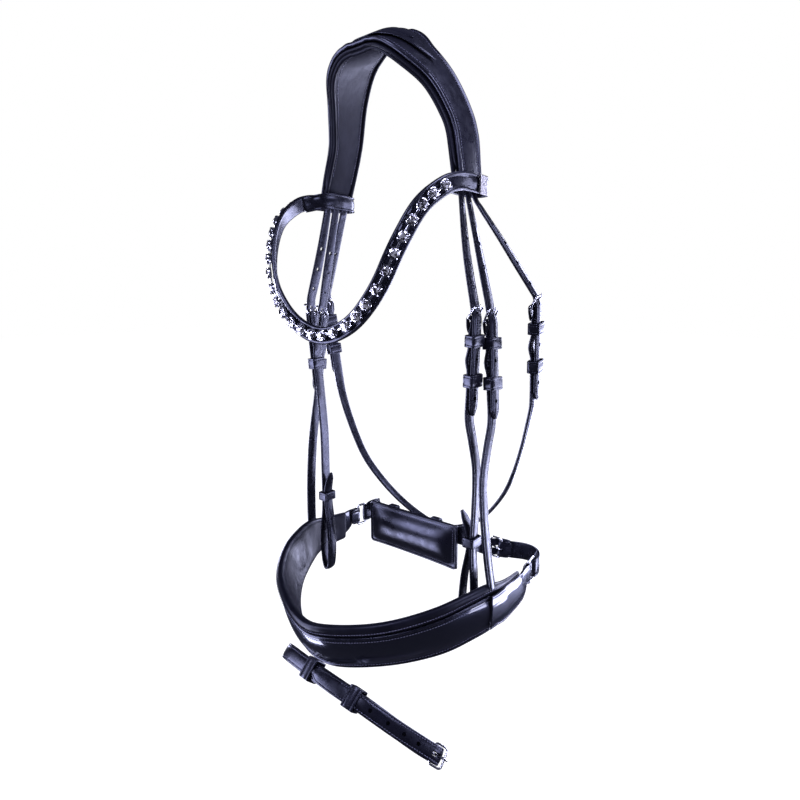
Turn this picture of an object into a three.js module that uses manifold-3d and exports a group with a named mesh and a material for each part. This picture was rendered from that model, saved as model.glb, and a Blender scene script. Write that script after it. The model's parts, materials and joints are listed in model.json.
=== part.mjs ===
// Snaffle bridle with a crystal browband and a padded crank-and-flash noseband.
// Millimetres, +Z up, -Y towards the horse's nose, +X the horse's left side.
// The origin is on the underside of the headpiece, in the middle of the poll.
import * as THREE from 'three';
import { mergeVertices } from 'three/addons/utils/BufferGeometryUtils.js';
import Module from 'manifold-3d';

const wasm = await Module();
wasm.setup();

// ---- driving dimensions ----
const FIT = 0.35;                 // gap left between pieces that touch
const STRAP_WIDTH = 11.5;         // cheek, noseband and throat straps
const BILLET_TOP_WIDTH = 8;       // where three billets leave the headpiece side by side
const BILLET_THICK = 2.8;         // punched straps that hang from the headpiece
const LOWER_THICK = 3.2;          // straps that carry the buckles
const SKIVED_THICK = 1.8;         // a strap where it is thinned to fold round a bar
const HOLE_PITCH = 20;            // distance between punched holes
const HOLE_RADIUS = 1.9;
const WIRE_RADIUS = 1.0;          // buckle wire
const BUCKLE_LENGTH = 10;         // bar to far rim of a buckle
const BAR_DEPTH = -2.05;          // bar, measured outwards from the strap's own face line
const RIM_DEPTH = 3.2;            // far rim, measured the same way
const BILLET_TAIL = 81;           // billet left below the buckle bar
const KEEPER_THICK = 1.8;         // leather of a keeper
const KEEPER_WIDTH = 10;          // keeper, along the strap
const HEAD_LEATHER = 3.6;         // headpiece outer leather
const HEAD_PADDING = 5.0;         // headpiece lining and padding
const BROWBAND_THICK = 4.0;
const STONE_COUNT = 26;           // crystals on the browband
const STONE_LENGTH = 9.4;         // setting, along the browband
const STONE_WIDTH = 9.0;
const STONE_HEIGHT = 5.2;
const STONE_GAP = 0.7;            // settings stand just clear of the curved leather
const CRANK_WIDTH = 20;           // strap under the jaw
const CRANK_THICK = 3.0;
const PAD_LENGTH = 122;           // chin pad
const PAD_HEIGHT = 49;
const FLASH_WIDTH = 14;
const FLASH_THICK = 2.8;

// ---- materials ----
const NAVY = 0x16161f;
function leather(colour = NAVY) {
  return new THREE.MeshStandardMaterial({ color: colour, roughness: 0.42, metalness: 0 });
}
function patent() {
  return new THREE.MeshStandardMaterial({ color: 0x0b0b14, roughness: 0.08, metalness: 0 });
}
function padding() {
  return new THREE.MeshStandardMaterial({ color: 0x1b1b26, roughness: 0.5, metalness: 0 });
}
function steel() {
  return new THREE.MeshStandardMaterial({ color: 0xc4c4ca, roughness: 0.18, metalness: 1 });
}
function crystal() {
  return new THREE.MeshStandardMaterial({ color: 0xa8a6b4, roughness: 0.08, metalness: 0.6 });
}

// ---- small vector helpers ----
const vec = (x, y, z) => new THREE.Vector3(x, y, z);
const list = (v) => [v.x, v.y, v.z];
const mix = (a, b, t) => a + (b - a) * t;

// A local frame: s runs up the strap, n points away from the horse, b runs across.
function localFrame(origin, up, out) {
  const s = up.clone().normalize();
  const n = out.clone().addScaledVector(s, -out.dot(s)).normalize();
  const b = new THREE.Vector3().crossVectors(s, n);
  const turn = (x, y, z) => vec(0, 0, 0).addScaledVector(s, x).addScaledVector(n, y)
    .addScaledVector(b, z);
  return { origin, s, n, b, turn, at: (x, y, z = 0) => turn(x, y, z).add(origin) };
}

// ---- solids ----
// Flips a solid that faces inwards and gives it normals.
function closeSolid(positions, faces) {
  let volume = 0;
  const p = positions.map((q) => vec(...q));
  for (const [a, b, c] of faces) {
    volume += p[a].dot(new THREE.Vector3().crossVectors(p[b], p[c]));
  }
  const index = faces.flatMap(([a, b, c]) => (volume < 0 ? [a, c, b] : [a, b, c]));
  const geometry = new THREE.BufferGeometry();
  geometry.setAttribute('position', new THREE.Float32BufferAttribute(positions.flat(), 3));
  geometry.setIndex(index);
  geometry.computeVertexNormals();
  return geometry;
}

// Joins a row of rings, each with the same number of points, into one solid.
function loft(rings, closed = false) {
  const count = rings[0].length;
  const faces = [];
  const last = closed ? rings.length : rings.length - 1;
  for (let i = 0; i < last; i += 1) {
    const here = i * count;
    const next = ((i + 1) % rings.length) * count;
    for (let k = 0; k < count; k += 1) {
      const j = (k + 1) % count;
      faces.push([here + k, here + j, next + j], [here + k, next + j, next + k]);
    }
  }
  if (!closed) {
    for (const [ring, flip] of [[0, true], [rings.length - 1, false]]) {
      const base = ring * count;
      for (const [a, b, c] of capFaces(rings[ring])) {
        faces.push(flip ? [base + a, base + c, base + b] : [base + a, base + b, base + c]);
      }
    }
  }
  return closeSolid(rings.flat().map(list), faces);
}

// Triangles that fill one flat ring.
function capFaces(ring) {
  const count = ring.length;
  const origin = ring[0];
  const u = ring[1].clone().sub(origin).normalize();
  const area = vec(0, 0, 0);
  for (let k = 0; k < count; k += 1) {
    const a = ring[k].clone().sub(origin);
    const b = ring[(k + 1) % count].clone().sub(origin);
    area.add(new THREE.Vector3().crossVectors(a, b));
  }
  const v = new THREE.Vector3().crossVectors(area.normalize(), u);
  const flat = ring.map((q) => {
    const d = q.clone().sub(origin);
    return new THREE.Vector2(d.dot(u), d.dot(v));
  });
  return THREE.ShapeUtils.triangulateShape(flat, []);
}

// Smooth values through a list of equally long rows of numbers.
function spline(rows, spans) {
  const out = [];
  for (let i = 0; i < rows.length - 1; i += 1) {
    const steps = Array.isArray(spans) ? spans[i] : spans;
    const before = rows[Math.max(i - 1, 0)];
    const after = rows[Math.min(i + 2, rows.length - 1)];
    for (let k = 0; k < steps; k += 1) {
      const t = k / steps;
      out.push(rows[i].map((p1, c) => {
        const p0 = before[c];
        const p2 = rows[i + 1][c];
        const p3 = after[c];
        return 0.5 * (2 * p1 + (p2 - p0) * t + (2 * p0 - 5 * p1 + 4 * p2 - p3) * t * t
          + (3 * p1 - p0 - 3 * p2 + p3) * t * t * t);
      }));
    }
  }
  out.push(rows[rows.length - 1].slice());
  return out;
}

// Stations of a strap: place, direction of travel, outward face, width and thickness.
// Each control row is [x, y, z, nx, ny, nz, width, thickness].
function stations(controls, spans) {
  const rows = spline(controls, spans);
  const centre = rows.map((r) => vec(r[0], r[1], r[2]));
  return rows.map((r, i) => {
    const ahead = centre[Math.min(i + 1, rows.length - 1)];
    const behind = centre[Math.max(i - 1, 0)];
    const along = ahead.clone().sub(behind).normalize();
    const face = vec(r[3], r[4], r[5]);
    face.addScaledVector(along, -face.dot(along)).normalize();
    const across = new THREE.Vector3().crossVectors(along, face);
    return { centre: centre[i], along, face, across, width: r[6], thick: r[7] };
  });
}

// A plain flat strap with a four-cornered section.
function strap(controls, spans) {
  return loft(stations(controls, spans).map(boxRing));
}
function boxRing(st) {
  const corner = (u, v) => st.centre.clone().addScaledVector(st.across, u * st.width / 2)
    .addScaledVector(st.face, v * st.thick / 2);
  return [corner(-1, -1), corner(1, -1), corner(1, 1), corner(-1, 1)];
}

// A strap with a shaped section, given as [across, outward] pairs.
// A layer that lies on another is listed the other way round, so the facets match.
// The across values are for a full-width strap and are scaled by each station's width.
function shapedStrap(controls, spans, section, fullWidth, trim = 0) {
  const all = stations(controls, spans);
  return loft(all.slice(trim, all.length - trim).map((st) => section.map(([u, v]) => (
    st.centre.clone().addScaledVector(st.across, u * st.width / fullWidth)
      .addScaledVector(st.face, v * st.thick)))));
}

// A closed hoop of round wire through a loop of points.
function wireHoop(points, radius, sides = 6) {
  const count = points.length;
  const middle = points.reduce((m, p) => m.add(p), vec(0, 0, 0)).divideScalar(count);
  const rings = points.map((p, i) => {
    const along = points[(i + 1) % count].clone().sub(points[(i + count - 1) % count]);
    along.normalize();
    const side = p.clone().sub(middle);
    side.addScaledVector(along, -side.dot(along)).normalize();
    const other = new THREE.Vector3().crossVectors(along, side);
    return Array.from({ length: sides }, (unused, k) => {
      const a = (k + 0.5) * 2 * Math.PI / sides;
      return p.clone().addScaledVector(side, radius * Math.cos(a))
        .addScaledVector(other, radius * Math.sin(a));
    });
  });
  return loft(rings, true);
}

// Rounded-rectangle outline in two numbers, as [a, b] pairs.
function roundedRectangle(halfA, halfB, corner, steps = 3) {
  const out = [];
  for (const [sa, sb, start] of [[1, 1, 0], [-1, 1, 1], [-1, -1, 2], [1, -1, 3]]) {
    for (let k = 0; k <= steps; k += 1) {
      const angle = (start + k / steps) * Math.PI / 2;
      out.push([sa * (halfA - corner) + corner * Math.cos(angle),
        sb * (halfB - corner) + corner * Math.sin(angle)]);
    }
  }
  return out;
}

// ---- cutting and joining ----
function toManifold(geometry) {
  const clean = geometry.clone();
  clean.deleteAttribute('normal');
  const merged = mergeVertices(clean, 1e-5);
  return new wasm.Manifold(new wasm.Mesh({
    numProp: 3,
    vertProperties: new Float32Array(merged.attributes.position.array),
    triVerts: new Uint32Array(merged.index.array),
  }));
}
function fromManifold(solid) {
  const mesh = solid.getMesh();
  const geometry = new THREE.BufferGeometry();
  const xyz = [];
  for (let i = 0; i < mesh.vertProperties.length; i += mesh.numProp) {
    xyz.push(...mesh.vertProperties.slice(i, i + 3));
  }
  geometry.setAttribute('position', new THREE.Float32BufferAttribute(xyz, 3));
  geometry.setIndex(Array.from(mesh.triVerts));
  geometry.computeVertexNormals();
  return geometry;
}
function subtractAll(geometry, cutters) {
  let solid = toManifold(geometry);
  for (const cutter of cutters) solid = solid.subtract(toManifold(cutter));
  return fromManifold(solid);
}
function joinAll(parts) {
  let solid = toManifold(parts[0]);
  for (const part of parts.slice(1)) solid = solid.add(toManifold(part));
  return fromManifold(solid);
}

// A straight punch of any outline: pairs are [along s, across b] in the local frame.
function punch(frame, outline, depth = 9) {
  const low = outline.map(([s, b]) => frame.at(s, -depth, b));
  const high = outline.map(([s, b]) => frame.at(s, depth, b));
  return loft([low, high]);
}
function circle(centre, radius, sides = 10) {
  return Array.from({ length: sides }, (unused, k) => {
    const a = (k + 0.5) * 2 * Math.PI / sides;
    return [centre + radius * Math.cos(a), radius * Math.sin(a)];
  });
}

// ---- buckles, tongues and keepers ----
// Control row from local coordinates.
function row(frame, s, n, normal, width, thick, b = 0) {
  const c = frame.at(s, n, b);
  const f = frame.turn(normal[0], normal[1], 0);
  return [...list(c), ...list(f), width, thick];
}

// Rows of a strap that folds round a buckle bar, from the turned end to the front face.
function foldRows(frame, fullWidth, frontThick = LOWER_THICK) {
  const radius = 1.4 + SKIVED_THICK / 2;
  const width = fullWidth - 1.2;
  const rows = [
    row(frame, -11, BAR_DEPTH - 1.25, [0, -1], width * 0.7, 1.4),
    row(frame, -8, BAR_DEPTH - 1.5, [0, -1], width, SKIVED_THICK),
    row(frame, -3, BAR_DEPTH - radius + 0.1, [0, -1], width, SKIVED_THICK),
  ];
  for (let k = 0; k <= 4; k += 1) {
    const a = (k / 4) * Math.PI;
    const s = radius * Math.sin(a);
    const n = -radius * Math.cos(a);
    rows.push(row(frame, s, BAR_DEPTH + n, [Math.sin(a), -Math.cos(a)], width, SKIVED_THICK));
  }
  rows.push(row(frame, -5, BAR_DEPTH + radius, [0, 1], width, SKIVED_THICK));
  rows.push(row(frame, -12, BAR_DEPTH + radius + (SKIVED_THICK - frontThick) / 2, [0, 1],
    fullWidth, frontThick));
  return rows;
}
const FOLD_SPANS = [1, 2, 1, 2, 2, 2, 2, 1, 2];

// The slot that lets the buckle tongue round its bar.
function tongueSlot(frame) {
  return punch(frame, [[-2.6, -1.8], [6, -1.8], [6, 1.8], [-2.6, 1.8]], 12);
}

// A buckle frame tilted so the bar is behind the billet and the far rim is in front of it.
function buckleFrame(frame, strapWidth) {
  const half = strapWidth / 2 + FIT + 0.05 + WIRE_RADIUS;
  const outline = roundedRectangle(BUCKLE_LENGTH / 2, half, 2.6, 3);
  const points = outline.map(([a, b]) => {
    const t = (a + BUCKLE_LENGTH / 2) / BUCKLE_LENGTH;
    return frame.at(t * BUCKLE_LENGTH, mix(BAR_DEPTH, RIM_DEPTH, t), b);
  });
  return wireHoop(points, WIRE_RADIUS);
}

// The tongue: an eye round the bar and a pin that rests on the far rim.
function buckleTongue(frame) {
  const radius = WIRE_RADIUS + FIT + 0.55;
  const rows = [];
  const turns = 7;
  for (let k = 0; k <= turns; k += 1) {
    const a = mix(110, 408, k / turns) * Math.PI / 180;
    rows.push(row(frame, radius * Math.sin(a), BAR_DEPTH - radius * Math.cos(a),
      [Math.sin(a), -Math.cos(a)], 2.2, 1.1));
  }
  rows.push(row(frame, 5.6, 1.35, [0.74, -0.67], 2.2, 1.2));
  rows.push(row(frame, 8.1, 4.15, [0.7, -0.71], 2.1, 1.2));
  rows.push(row(frame, 9.4, 5.15, [0.4, -0.92], 2.0, 1.2));
  rows.push(row(frame, 12.2, 5.3, [0, -1], 1.4, 1.0));
  return strap(rows, [1, 1, 1, 1, 1, 1, 1, 2, 1, 1, 1]);
}

// A leather loop round a stack of straps between two depths.
function keeper(frame, s, width, back, front, length = KEEPER_WIDTH, thick = KEEPER_THICK) {
  const halfB = width / 2 + FIT + thick / 2;
  const halfN = (front - back) / 2 + FIT + thick / 2;
  const middle = (front + back) / 2;
  const outline = roundedRectangle(halfN, halfB, 1.5, 2);
  const outward = outline.map(([n, b], i) => {
    const after = outline[(i + 1) % outline.length];
    const before = outline[(i + outline.length - 1) % outline.length];
    const tn = after[0] - before[0];
    const tb = after[1] - before[1];
    const size = Math.hypot(tn, tb);
    return [tb / size, -tn / size];
  });
  const rings = outline.map(([n, b], i) => {
    const [on, ob] = outward[i];
    const corner = (e, l) => frame.at(s + l * length / 2, middle + n + on * e * thick / 2,
      b + ob * e * thick / 2);
    return [corner(-1, -1), corner(1, -1), corner(1, 1), corner(-1, 1)];
  });
  return loft(rings, true);
}

// The billet: from the headpiece, through the buckle and on to its tip.
function billet(frame, top, topOut, meetAt, bow) {
  const width = STRAP_WIDTH;
  const tail = BILLET_TAIL;
  const rows = [];
  const meet = frame.at(meetAt, -0.6 - bow * 0.4);
  rows.push([...list(top), ...list(topOut), BILLET_TOP_WIDTH, BILLET_THICK]);
  const hang = top.clone().add(vec(Math.sign(top.x) * 2.2, 0, -16));
  rows.push([...list(hang), ...list(topOut), BILLET_TOP_WIDTH, BILLET_THICK]);
  for (const t of [0.4, 0.7]) {
    const c = hang.clone().lerp(meet, t).addScaledVector(frame.n, -bow * 4 * t * (1 - t));
    const f = topOut.clone().lerp(frame.n, t).normalize();
    rows.push([...list(c), ...list(f), mix(BILLET_TOP_WIDTH, width, t * 1.4), BILLET_THICK]);
  }
  const depths = [[10, 0.25], [5.5, 1.4], [1.5, 2.75], [-3, 2.95], [-30, 2.95], [-tail + 12, 2.95]];
  rows.push([...list(meet), ...list(frame.n), width, BILLET_THICK]);
  for (const [s, n] of depths) rows.push(row(frame, s, n, [0, 1], width, BILLET_THICK));
  rows.push(row(frame, -tail + 5, 2.95, [0, 1], width * 0.84, BILLET_THICK));
  rows.push(row(frame, -tail, 2.95, [0, 1], width * 0.3, BILLET_THICK));
  const solid = strap(rows, [1, 3, 2, 2, 1, 1, 1, 1, 2, 2, 2, 3]);
  const cutters = [punch(frame, [[2.4, -1.9], [8.5, -1.9], [8.5, 1.9], [2.4, 1.9]])];
  const line = hang.clone().sub(meet);
  const length = line.length();
  const upper = localFrame(meet, line, topOut.clone().add(frame.n));
  for (let k = 0; k < 3; k += 1) {
    const s = 10 + HOLE_PITCH * k;
    if (s < length - 10) cutters.push(punch(upper, circle(s, HOLE_RADIUS)));
  }
  for (const s of [-32, -66]) cutters.push(punch(frame, circle(s, HOLE_RADIUS), 20));
  return subtractAll(solid, cutters);
}

// ---- the assembly ----
const bridle = new THREE.Group();
bridle.name = 'snaffle_bridle';
function addPiece(name, geometry, material) {
  const mesh = new THREE.Mesh(geometry, material);
  mesh.name = name;
  bridle.add(mesh);
}

// Control rows mirrored to the horse's right side, in reverse order.
function mirrored(rows) {
  return rows.map(([x, y, z, nx, ...rest]) => [-x, y, z, -nx, ...rest]).reverse();
}
const sideName = (side) => (side > 0 ? 'left' : 'right');
const onSide = (side, x, y, z) => vec(side * x, y, z);

// ---- headpiece ----
const HEAD_ROWS = [
  // front edge of the leather, then its rear edge, from the poll down the left side
  [[0, -31.88, -5.44], [0, 26.42, 18.66]],
  [[6, -31.88, -5.44], [6, 26.42, 18.66]],
  [[12, -31.88, -5.44], [12, 26.42, 18.66]],
  [[20, -31, -8.3], [19, 26.4, 15.6]],
  [[37.6, -27, -17], [33.5, 25.5, 2.5]],
  [[59, -7, -40], [51.5, 31, -21]],
  [[71.8, 5.5, -71], [67.6, 39.5, -57]],
  [[78.4, 3.5, -98], [76.4, 37.5, -94]],
  [[82, 2.2, -117], [81, 34, -117]],
];
function headControls(thick, margin) {
  const half = HEAD_ROWS.map(([f, r], i, all) => {
    const front = vec(...f);
    const rear = vec(...r);
    const across = rear.clone().sub(front);
    const next = all[Math.min(i + 1, all.length - 1)];
    const last = all[Math.max(i - 1, 0)];
    const along = i === 0 ? vec(1, 0, 0) : vec(...next[0]).add(vec(...next[1]))
      .sub(vec(...last[0])).sub(vec(...last[1]));
    const face = new THREE.Vector3().crossVectors(along, across).normalize();
    const centre = front.add(rear).multiplyScalar(0.5);
    return [...list(centre), ...list(face), across.length() - 2 * margin, thick];
  });
  return [...mirrored(half).slice(0, -1), ...half];
}
function headpiece() {
  const leatherRows = headControls(HEAD_LEATHER, 0);
  const spans = [2, 3, 4, 4, 3, 1, 1, 1, 1, 1, 1, 3, 4, 4, 3, 2];
  addPiece('headpiece_leather', strap(leatherRows, spans), leather());
  const top = -HEAD_LEATHER / 2 - FIT;
  const base = top - HEAD_PADDING;
  const profile = [[-0.52, top - 2.6], [-0.48, top - 4.4], [-0.42, base], [0.42, base],
    [0.48, top - 4.4], [0.52, top - 2.6], [0.52, top - 0.8], [0.49, top], [-0.49, top],
    [-0.52, top - 0.8]];
  const plain = headControls(1, 0);
  addPiece('headpiece_lining', shapedStrap(plain, spans, profile.reverse(), 1, 2), padding());
  const half = [0.02, 0.02, 0.02, 0.02, 0.32, 0.6, 0.68, 0.71];
  const narrow = [...half, 0.72, ...half.slice().reverse()];
  const tongueRows = plain.map((r, i) => [...r.slice(0, 6), r[6] * narrow[i], 1]);
  const over = HEAD_LEATHER / 2 + 2 * FIT;
  const bulge = [[-0.5, over], [0.5, over], [0.46, over + 1.2], [0.3, over + 2.2],
    [0, over + 2.4], [-0.3, over + 2.2], [-0.46, over + 1.2]];
  addPiece('poll_tongue', shapedStrap(tongueRows, spans, bulge.reverse(), 1, 11), leather());
}

// ---- browband with its two end loops and the crystal chain ----
const BROW_ROWS = [
  // inner end of the loop, round behind the headpiece, then forward and down to the centre
  [83.4, -17, -121.5, -0.9, 0.4, 0, 14, 1.6],
  [80, -9, -119, -0.8, -0.5, 0, 14.5, 2],
  [73.2, -3.5, -117.5, -0.85, -0.4, 0, 14.5, 2],
  [69.6, 6, -116.5, -1, -0.1, 0, 14.5, 2],
  [68.6, 22, -116.5, -1, -0.05, 0, 14.5, 2],
  [70, 34, -116.5, -0.95, 0.3, 0, 14.5, 2],
  [74.8, 40.6, -116.5, -0.3, 1, 0, 14.5, 2],
  [82, 40.6, -116.5, 0.4, 0.9, 0, 14.5, 2],
  [86, 35.5, -116.5, 0.96, 0.25, 0, 14.5, 2],
  [86.6, 26, -116.5, 0.99, 0.04, 0, 14.5, 2],
  [87, 6, -116.8, 0.99, 0.02, 0, 14.5, 2.4],
  [87, -8, -118, 0.98, -0.1, 0.1, 14.5, 3.2],
  [85, -26, -124, 0.95, -0.3, 0.15, 14.5, 4],
  [80, -49, -141, 0.84, -0.52, 0.12, 14.5, 4],
  [71.5, -65, -170, 0.74, -0.66, 0.06, 14.5, 4],
  [58, -73, -202, 0.56, -0.82, 0.05, 14.5, 4],
  [33, -76, -228, 0.3, -0.94, 0.1, 14.5, 4],
  [0, -77, -238.5, 0, -0.98, 0.14, 14.5, 4],
];
const BROW_SPANS = [1, 1, 1, 2, 1, 1, 1, 1, 1, 2, 2, 3, 3, 3, 3, 3, 3];
function browband() {
  const rows = [...BROW_ROWS, ...mirrored(BROW_ROWS).slice(1)];
  const spans = [...BROW_SPANS, ...BROW_SPANS.slice().reverse()];
  addPiece('browband', strap(rows, spans), leather());
  const chainRows = [...BROW_ROWS.slice(11), ...mirrored(BROW_ROWS.slice(11)).slice(1)];
  const fine = stations(chainRows, 24);
  const lengths = [0];
  for (let i = 1; i < fine.length; i += 1) {
    lengths.push(lengths[i - 1] + fine[i].centre.distanceTo(fine[i - 1].centre));
  }
  const total = lengths[lengths.length - 1];
  const margin = 14;
  const pitch = (total - 2 * margin) / STONE_COUNT;
  const lift = BROWBAND_THICK / 2 + STONE_GAP;
  const stationAt = (distance) => fine[Math.max(0, lengths.findIndex((l) => l >= distance))];
  const parts = [];
  for (let k = 0; k < STONE_COUNT; k += 1) {
    const st = stationAt(margin + (k + 0.5) * pitch);
    parts.push(stone(st, lift));
    if (k > 0) {
      const before = stationAt(margin + (k - 0.5) * pitch);
      parts.push(link(before, st, lift));
    }
  }
  addPiece('crystal_chain', joinAll(parts), crystal());
}

// One oblong setting: a straight-sided cup with a bevelled stone on top.
function stone(st, lift) {
  const ring = (length, width, height) => [[-1, -1], [1, -1], [1, 1], [-1, 1]].map(([u, v]) => (
    st.centre.clone().addScaledVector(st.along, u * length / 2)
      .addScaledVector(st.across, v * width / 2).addScaledVector(st.face, lift + height)));
  return loft([
    ring(STONE_LENGTH, STONE_WIDTH, 0),
    ring(STONE_LENGTH, STONE_WIDTH, STONE_HEIGHT * 0.5),
    ring(STONE_LENGTH * 0.62, STONE_WIDTH * 0.58, STONE_HEIGHT),
  ]);
}

// A short bar joining two settings low down.
function link(from, to, lift) {
  const ring = (st) => [[-1, 0.5], [1, 0.5], [1, 1.9], [-1, 1.9]].map(([v, h]) => st.centre.clone()
    .addScaledVector(st.across, v * 1.6).addScaledVector(st.face, lift + h));
  return loft([ring(from), ring(to)]);
}

function clincher(side) {
  // A plain metal cap on the rear of each browband loop.
  const frame = localFrame(onSide(side, 86.6, 25.4, -116.5), vec(0, 0, 1), onSide(side, 1, 0.05, 0));
  const thick = 1.4;
  const lift = 1 + FIT;
  const pairs = [[-7.8, -6.6], [7.8, -6.6], [7.8, 6.6], [-7.8, 6.6]];
  const at = (height, inset) => pairs.map(([s, b]) => frame.at(s - Math.sign(s) * inset,
    lift + height, side * (b - Math.sign(b) * inset)));
  addPiece(`${sideName(side)}_browband_clincher`,
    loft([at(0, 0), at(thick * 0.6, 0), at(thick, 0.6)]), steel());
}

// ---- side straps ----
const SIDE_STRAPS = {
  cheek: {
    bar: [98, 1.5, -225], low: [93, 6, -311], top: [76.5, 8, -108], meet: 16, bow: 1.5,
  },
  noseband: {
    bar: [102.5, 19.5, -228], low: [109, 16.4, -311], top: [76.1, 18.6, -108], meet: 16, bow: 0,
  },
  throat: {
    bar: [127, 51.5, -216], low: [123.3, 62.5, -298], top: [75.7, 29.4, -108], meet: 11.5, bow: 0,
  },
};
function sideFrame(kind, side) {
  const { bar, low } = SIDE_STRAPS[kind];
  const origin = onSide(side, ...bar);
  const up = origin.clone().sub(onSide(side, ...low));
  const out = kind === 'throat' ? onSide(side, 1, 0.1, 0) : onSide(side, 1, -0.05, 0);
  return localFrame(origin, up, out);
}
function sideBillet(kind, side) {
  const { top, meet, bow } = SIDE_STRAPS[kind];
  const frame = sideFrame(kind, side);
  const out = onSide(side, 1, 0.15, 0.15);
  addPiece(`${sideName(side)}_${kind}_billet`,
    billet(frame, onSide(side, ...top), out, meet, bow), leather());
}
function sideBuckle(kind, side) {
  const frame = sideFrame(kind, side);
  const name = `${sideName(side)}_${kind}`;
  addPiece(`${name}_buckle`, buckleFrame(frame, STRAP_WIDTH), steel());
  addPiece(`${name}_buckle_tongue`, buckleTongue(frame), steel());
  const back = BAR_DEPTH;
  const front = 2.95 + BILLET_THICK / 2;
  addPiece(`${name}_keeper`, keeper(frame, -17.5, STRAP_WIDTH, back, front), leather());
  addPiece(`${name}_runner`, keeper(frame, -51, STRAP_WIDTH, back, front, 11), leather());
}
// Rows of the buckle-carrying strap from its turned end to well below the billet's tip.
function lowerRows(frame, width = STRAP_WIDTH) {
  const rows = foldRows(frame, width);
  rows.push(row(frame, -23, -0.5, [-0.05, 1], width, LOWER_THICK));
  rows.push(row(frame, -34, -2.6, [0, 1], width, LOWER_THICK));
  rows.push(row(frame, -44, -0.6, [0.05, 1], width, LOWER_THICK));
  rows.push(row(frame, -60, -0.45, [0, 1], width, LOWER_THICK));
  rows.push(row(frame, -84, -0.45, [0, 1], width, LOWER_THICK));
  return rows;
}
const LOWER_SPANS = [...FOLD_SPANS, 1, 2, 2, 1, 1];

function cheekpiece(side) {
  const frame = sideFrame('cheek', side);
  const rows = lowerRows(frame);
  const add = (x, y, z, nx, nz, width = STRAP_WIDTH, thick = LOWER_THICK) => {
    rows.push([side * x, y, z, side * nx, 0, nz, width, thick]);
  };
  add(96.2, 12.6, -350, 1, 0);
  add(96.6, 13.4, -385, 1, 0);
  add(95.6, 12.5, -430, 1, 0);
  add(97.4, 12, -455, 1, -0.1);
  add(98.4, 11.6, -482, 1, 0.05);
  add(96, 11.2, -501, 0.8, -0.5);
  add(91.8, 11, -507, 0, -1);
  add(87.6, 10.8, -501, -0.85, -0.4);
  add(85.8, 11, -482, -1, 0);
  add(87.6, 11.6, -455, -1, 0.1);
  add(91.7, 12.5, -430, -1, 0.05, STRAP_WIDTH, 2.8);
  add(91.7, 12.4, -416, -1, -0.1, STRAP_WIDTH, 2.8);
  add(87.4, 11, -403, -1, -0.35, STRAP_WIDTH * 0.86, 2.8);
  add(84.2, 10, -395.5, -1, -0.45, STRAP_WIDTH * 0.32, 2.6);
  const spans = [...LOWER_SPANS, 2, 2, 3, 3, 2, 2, 2, 2, 2, 3, 3, 2, 2, 3];
  const solid = subtractAll(strap(rows, spans), [tongueSlot(frame)]);
  addPiece(`${sideName(side)}_cheekpiece`, solid, leather());
  const low = localFrame(onSide(side, 95.7, 12.6, -423), vec(0, 0, 1), onSide(side, 1, 0, 0));
  addPiece(`${sideName(side)}_bit_keeper`,
    keeper(low, 0, STRAP_WIDTH, -5.6, 1.9, 9), leather());
}

function hanger(side) {
  const frame = sideFrame('noseband', side);
  const rows = lowerRows(frame);
  rows.push([side * 108, 6.5, -361, side, 0, 0, STRAP_WIDTH, LOWER_THICK]);
  rows.push([side * 112.5, 6, -415, side, 0, 0, STRAP_WIDTH, LOWER_THICK]);
  rows.push([side * 116.5, 9, -453, side, 0, 0, STRAP_WIDTH, LOWER_THICK]);
  const solid = subtractAll(strap(rows, [...LOWER_SPANS, 2, 2, 2]), [tongueSlot(frame)]);
  addPiece(`${sideName(side)}_noseband_hanger`, solid, leather());
}

function throatlatch() {
  const frame = sideFrame('throat', 1);
  const other = sideFrame('throat', -1);
  const half = lowerRows(frame);
  half.push([118.2, 64, -322, 0.98, 0.15, -0.1, 10, 3.4]);
  half.push([107, 69, -360, 0.9, 0.2, -0.35, 9, 3.6]);
  half.push([88, 76, -400, 0.75, 0.2, -0.6, 9, 3.6]);
  half.push([50, 89, -441, 0.45, 0.15, -0.85, 9, 3.6]);
  half.push([0, 95.5, -461, 0, 0.1, -1, 9, 3.6]);
  const rows = [...half, ...mirrored(half).slice(1)];
  const spans = [...LOWER_SPANS, 2, 2, 3, 3, 3];
  const solid = strap(rows, [...spans, ...spans.slice().reverse()]);
  addPiece('throatlatch', subtractAll(solid, [tongueSlot(frame), tongueSlot(other)]), leather());
}

// ---- noseband ----
const NOSE_ROWS = [
  // middle of the padded band from the front of the nose to its left end
  [0, -93, -510, 0, -0.91, -0.41, 50, 1],
  [28, -88.5, -506, 0.3, -0.87, -0.38, 50, 1],
  [65.5, -68.8, -498, 0.66, -0.66, -0.32, 50, 1],
  [94, -39.5, -490, 0.86, -0.46, -0.2, 50, 1],
  [108.5, -12, -483.5, 0.96, -0.26, -0.08, 47, 1],
  [115.5, 8, -480, 0.99, -0.1, 0, 43, 1],
  [117.5, 24, -480, 1, 0, 0, 36, 0.7],
  [117.3, 42, -480.5, 1, 0.03, 0, 33, 0.45],
  [116, 61, -481, 0.99, 0.07, 0, 31, 0.35],
];
const PADDING_PROFILE = [
  // [across the height, outwards]; a rolled rim stands along the top and bottom edges
  [-25, -2.2], [-22.5, -5], [-18, -6], [20, -6], [26, -5.2], [29, -2.2], [28.6, 1.6],
  [24.6, 3.6], [19.6, 2.8], [17.6, 0], [-20.6, 0], [-21.6, 1.4], [-24, 1],
];
const SHELL_PROFILE = [
  [-20, 0.35], [17, 0.35], [15.8, 2.4], [10, 4.9], [2, 6.2], [-7, 6.2], [-14, 4.7], [-19.2, 2.2],
];
const NOSE_FULL = [...mirrored(NOSE_ROWS).slice(0, -1), ...NOSE_ROWS];
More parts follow.
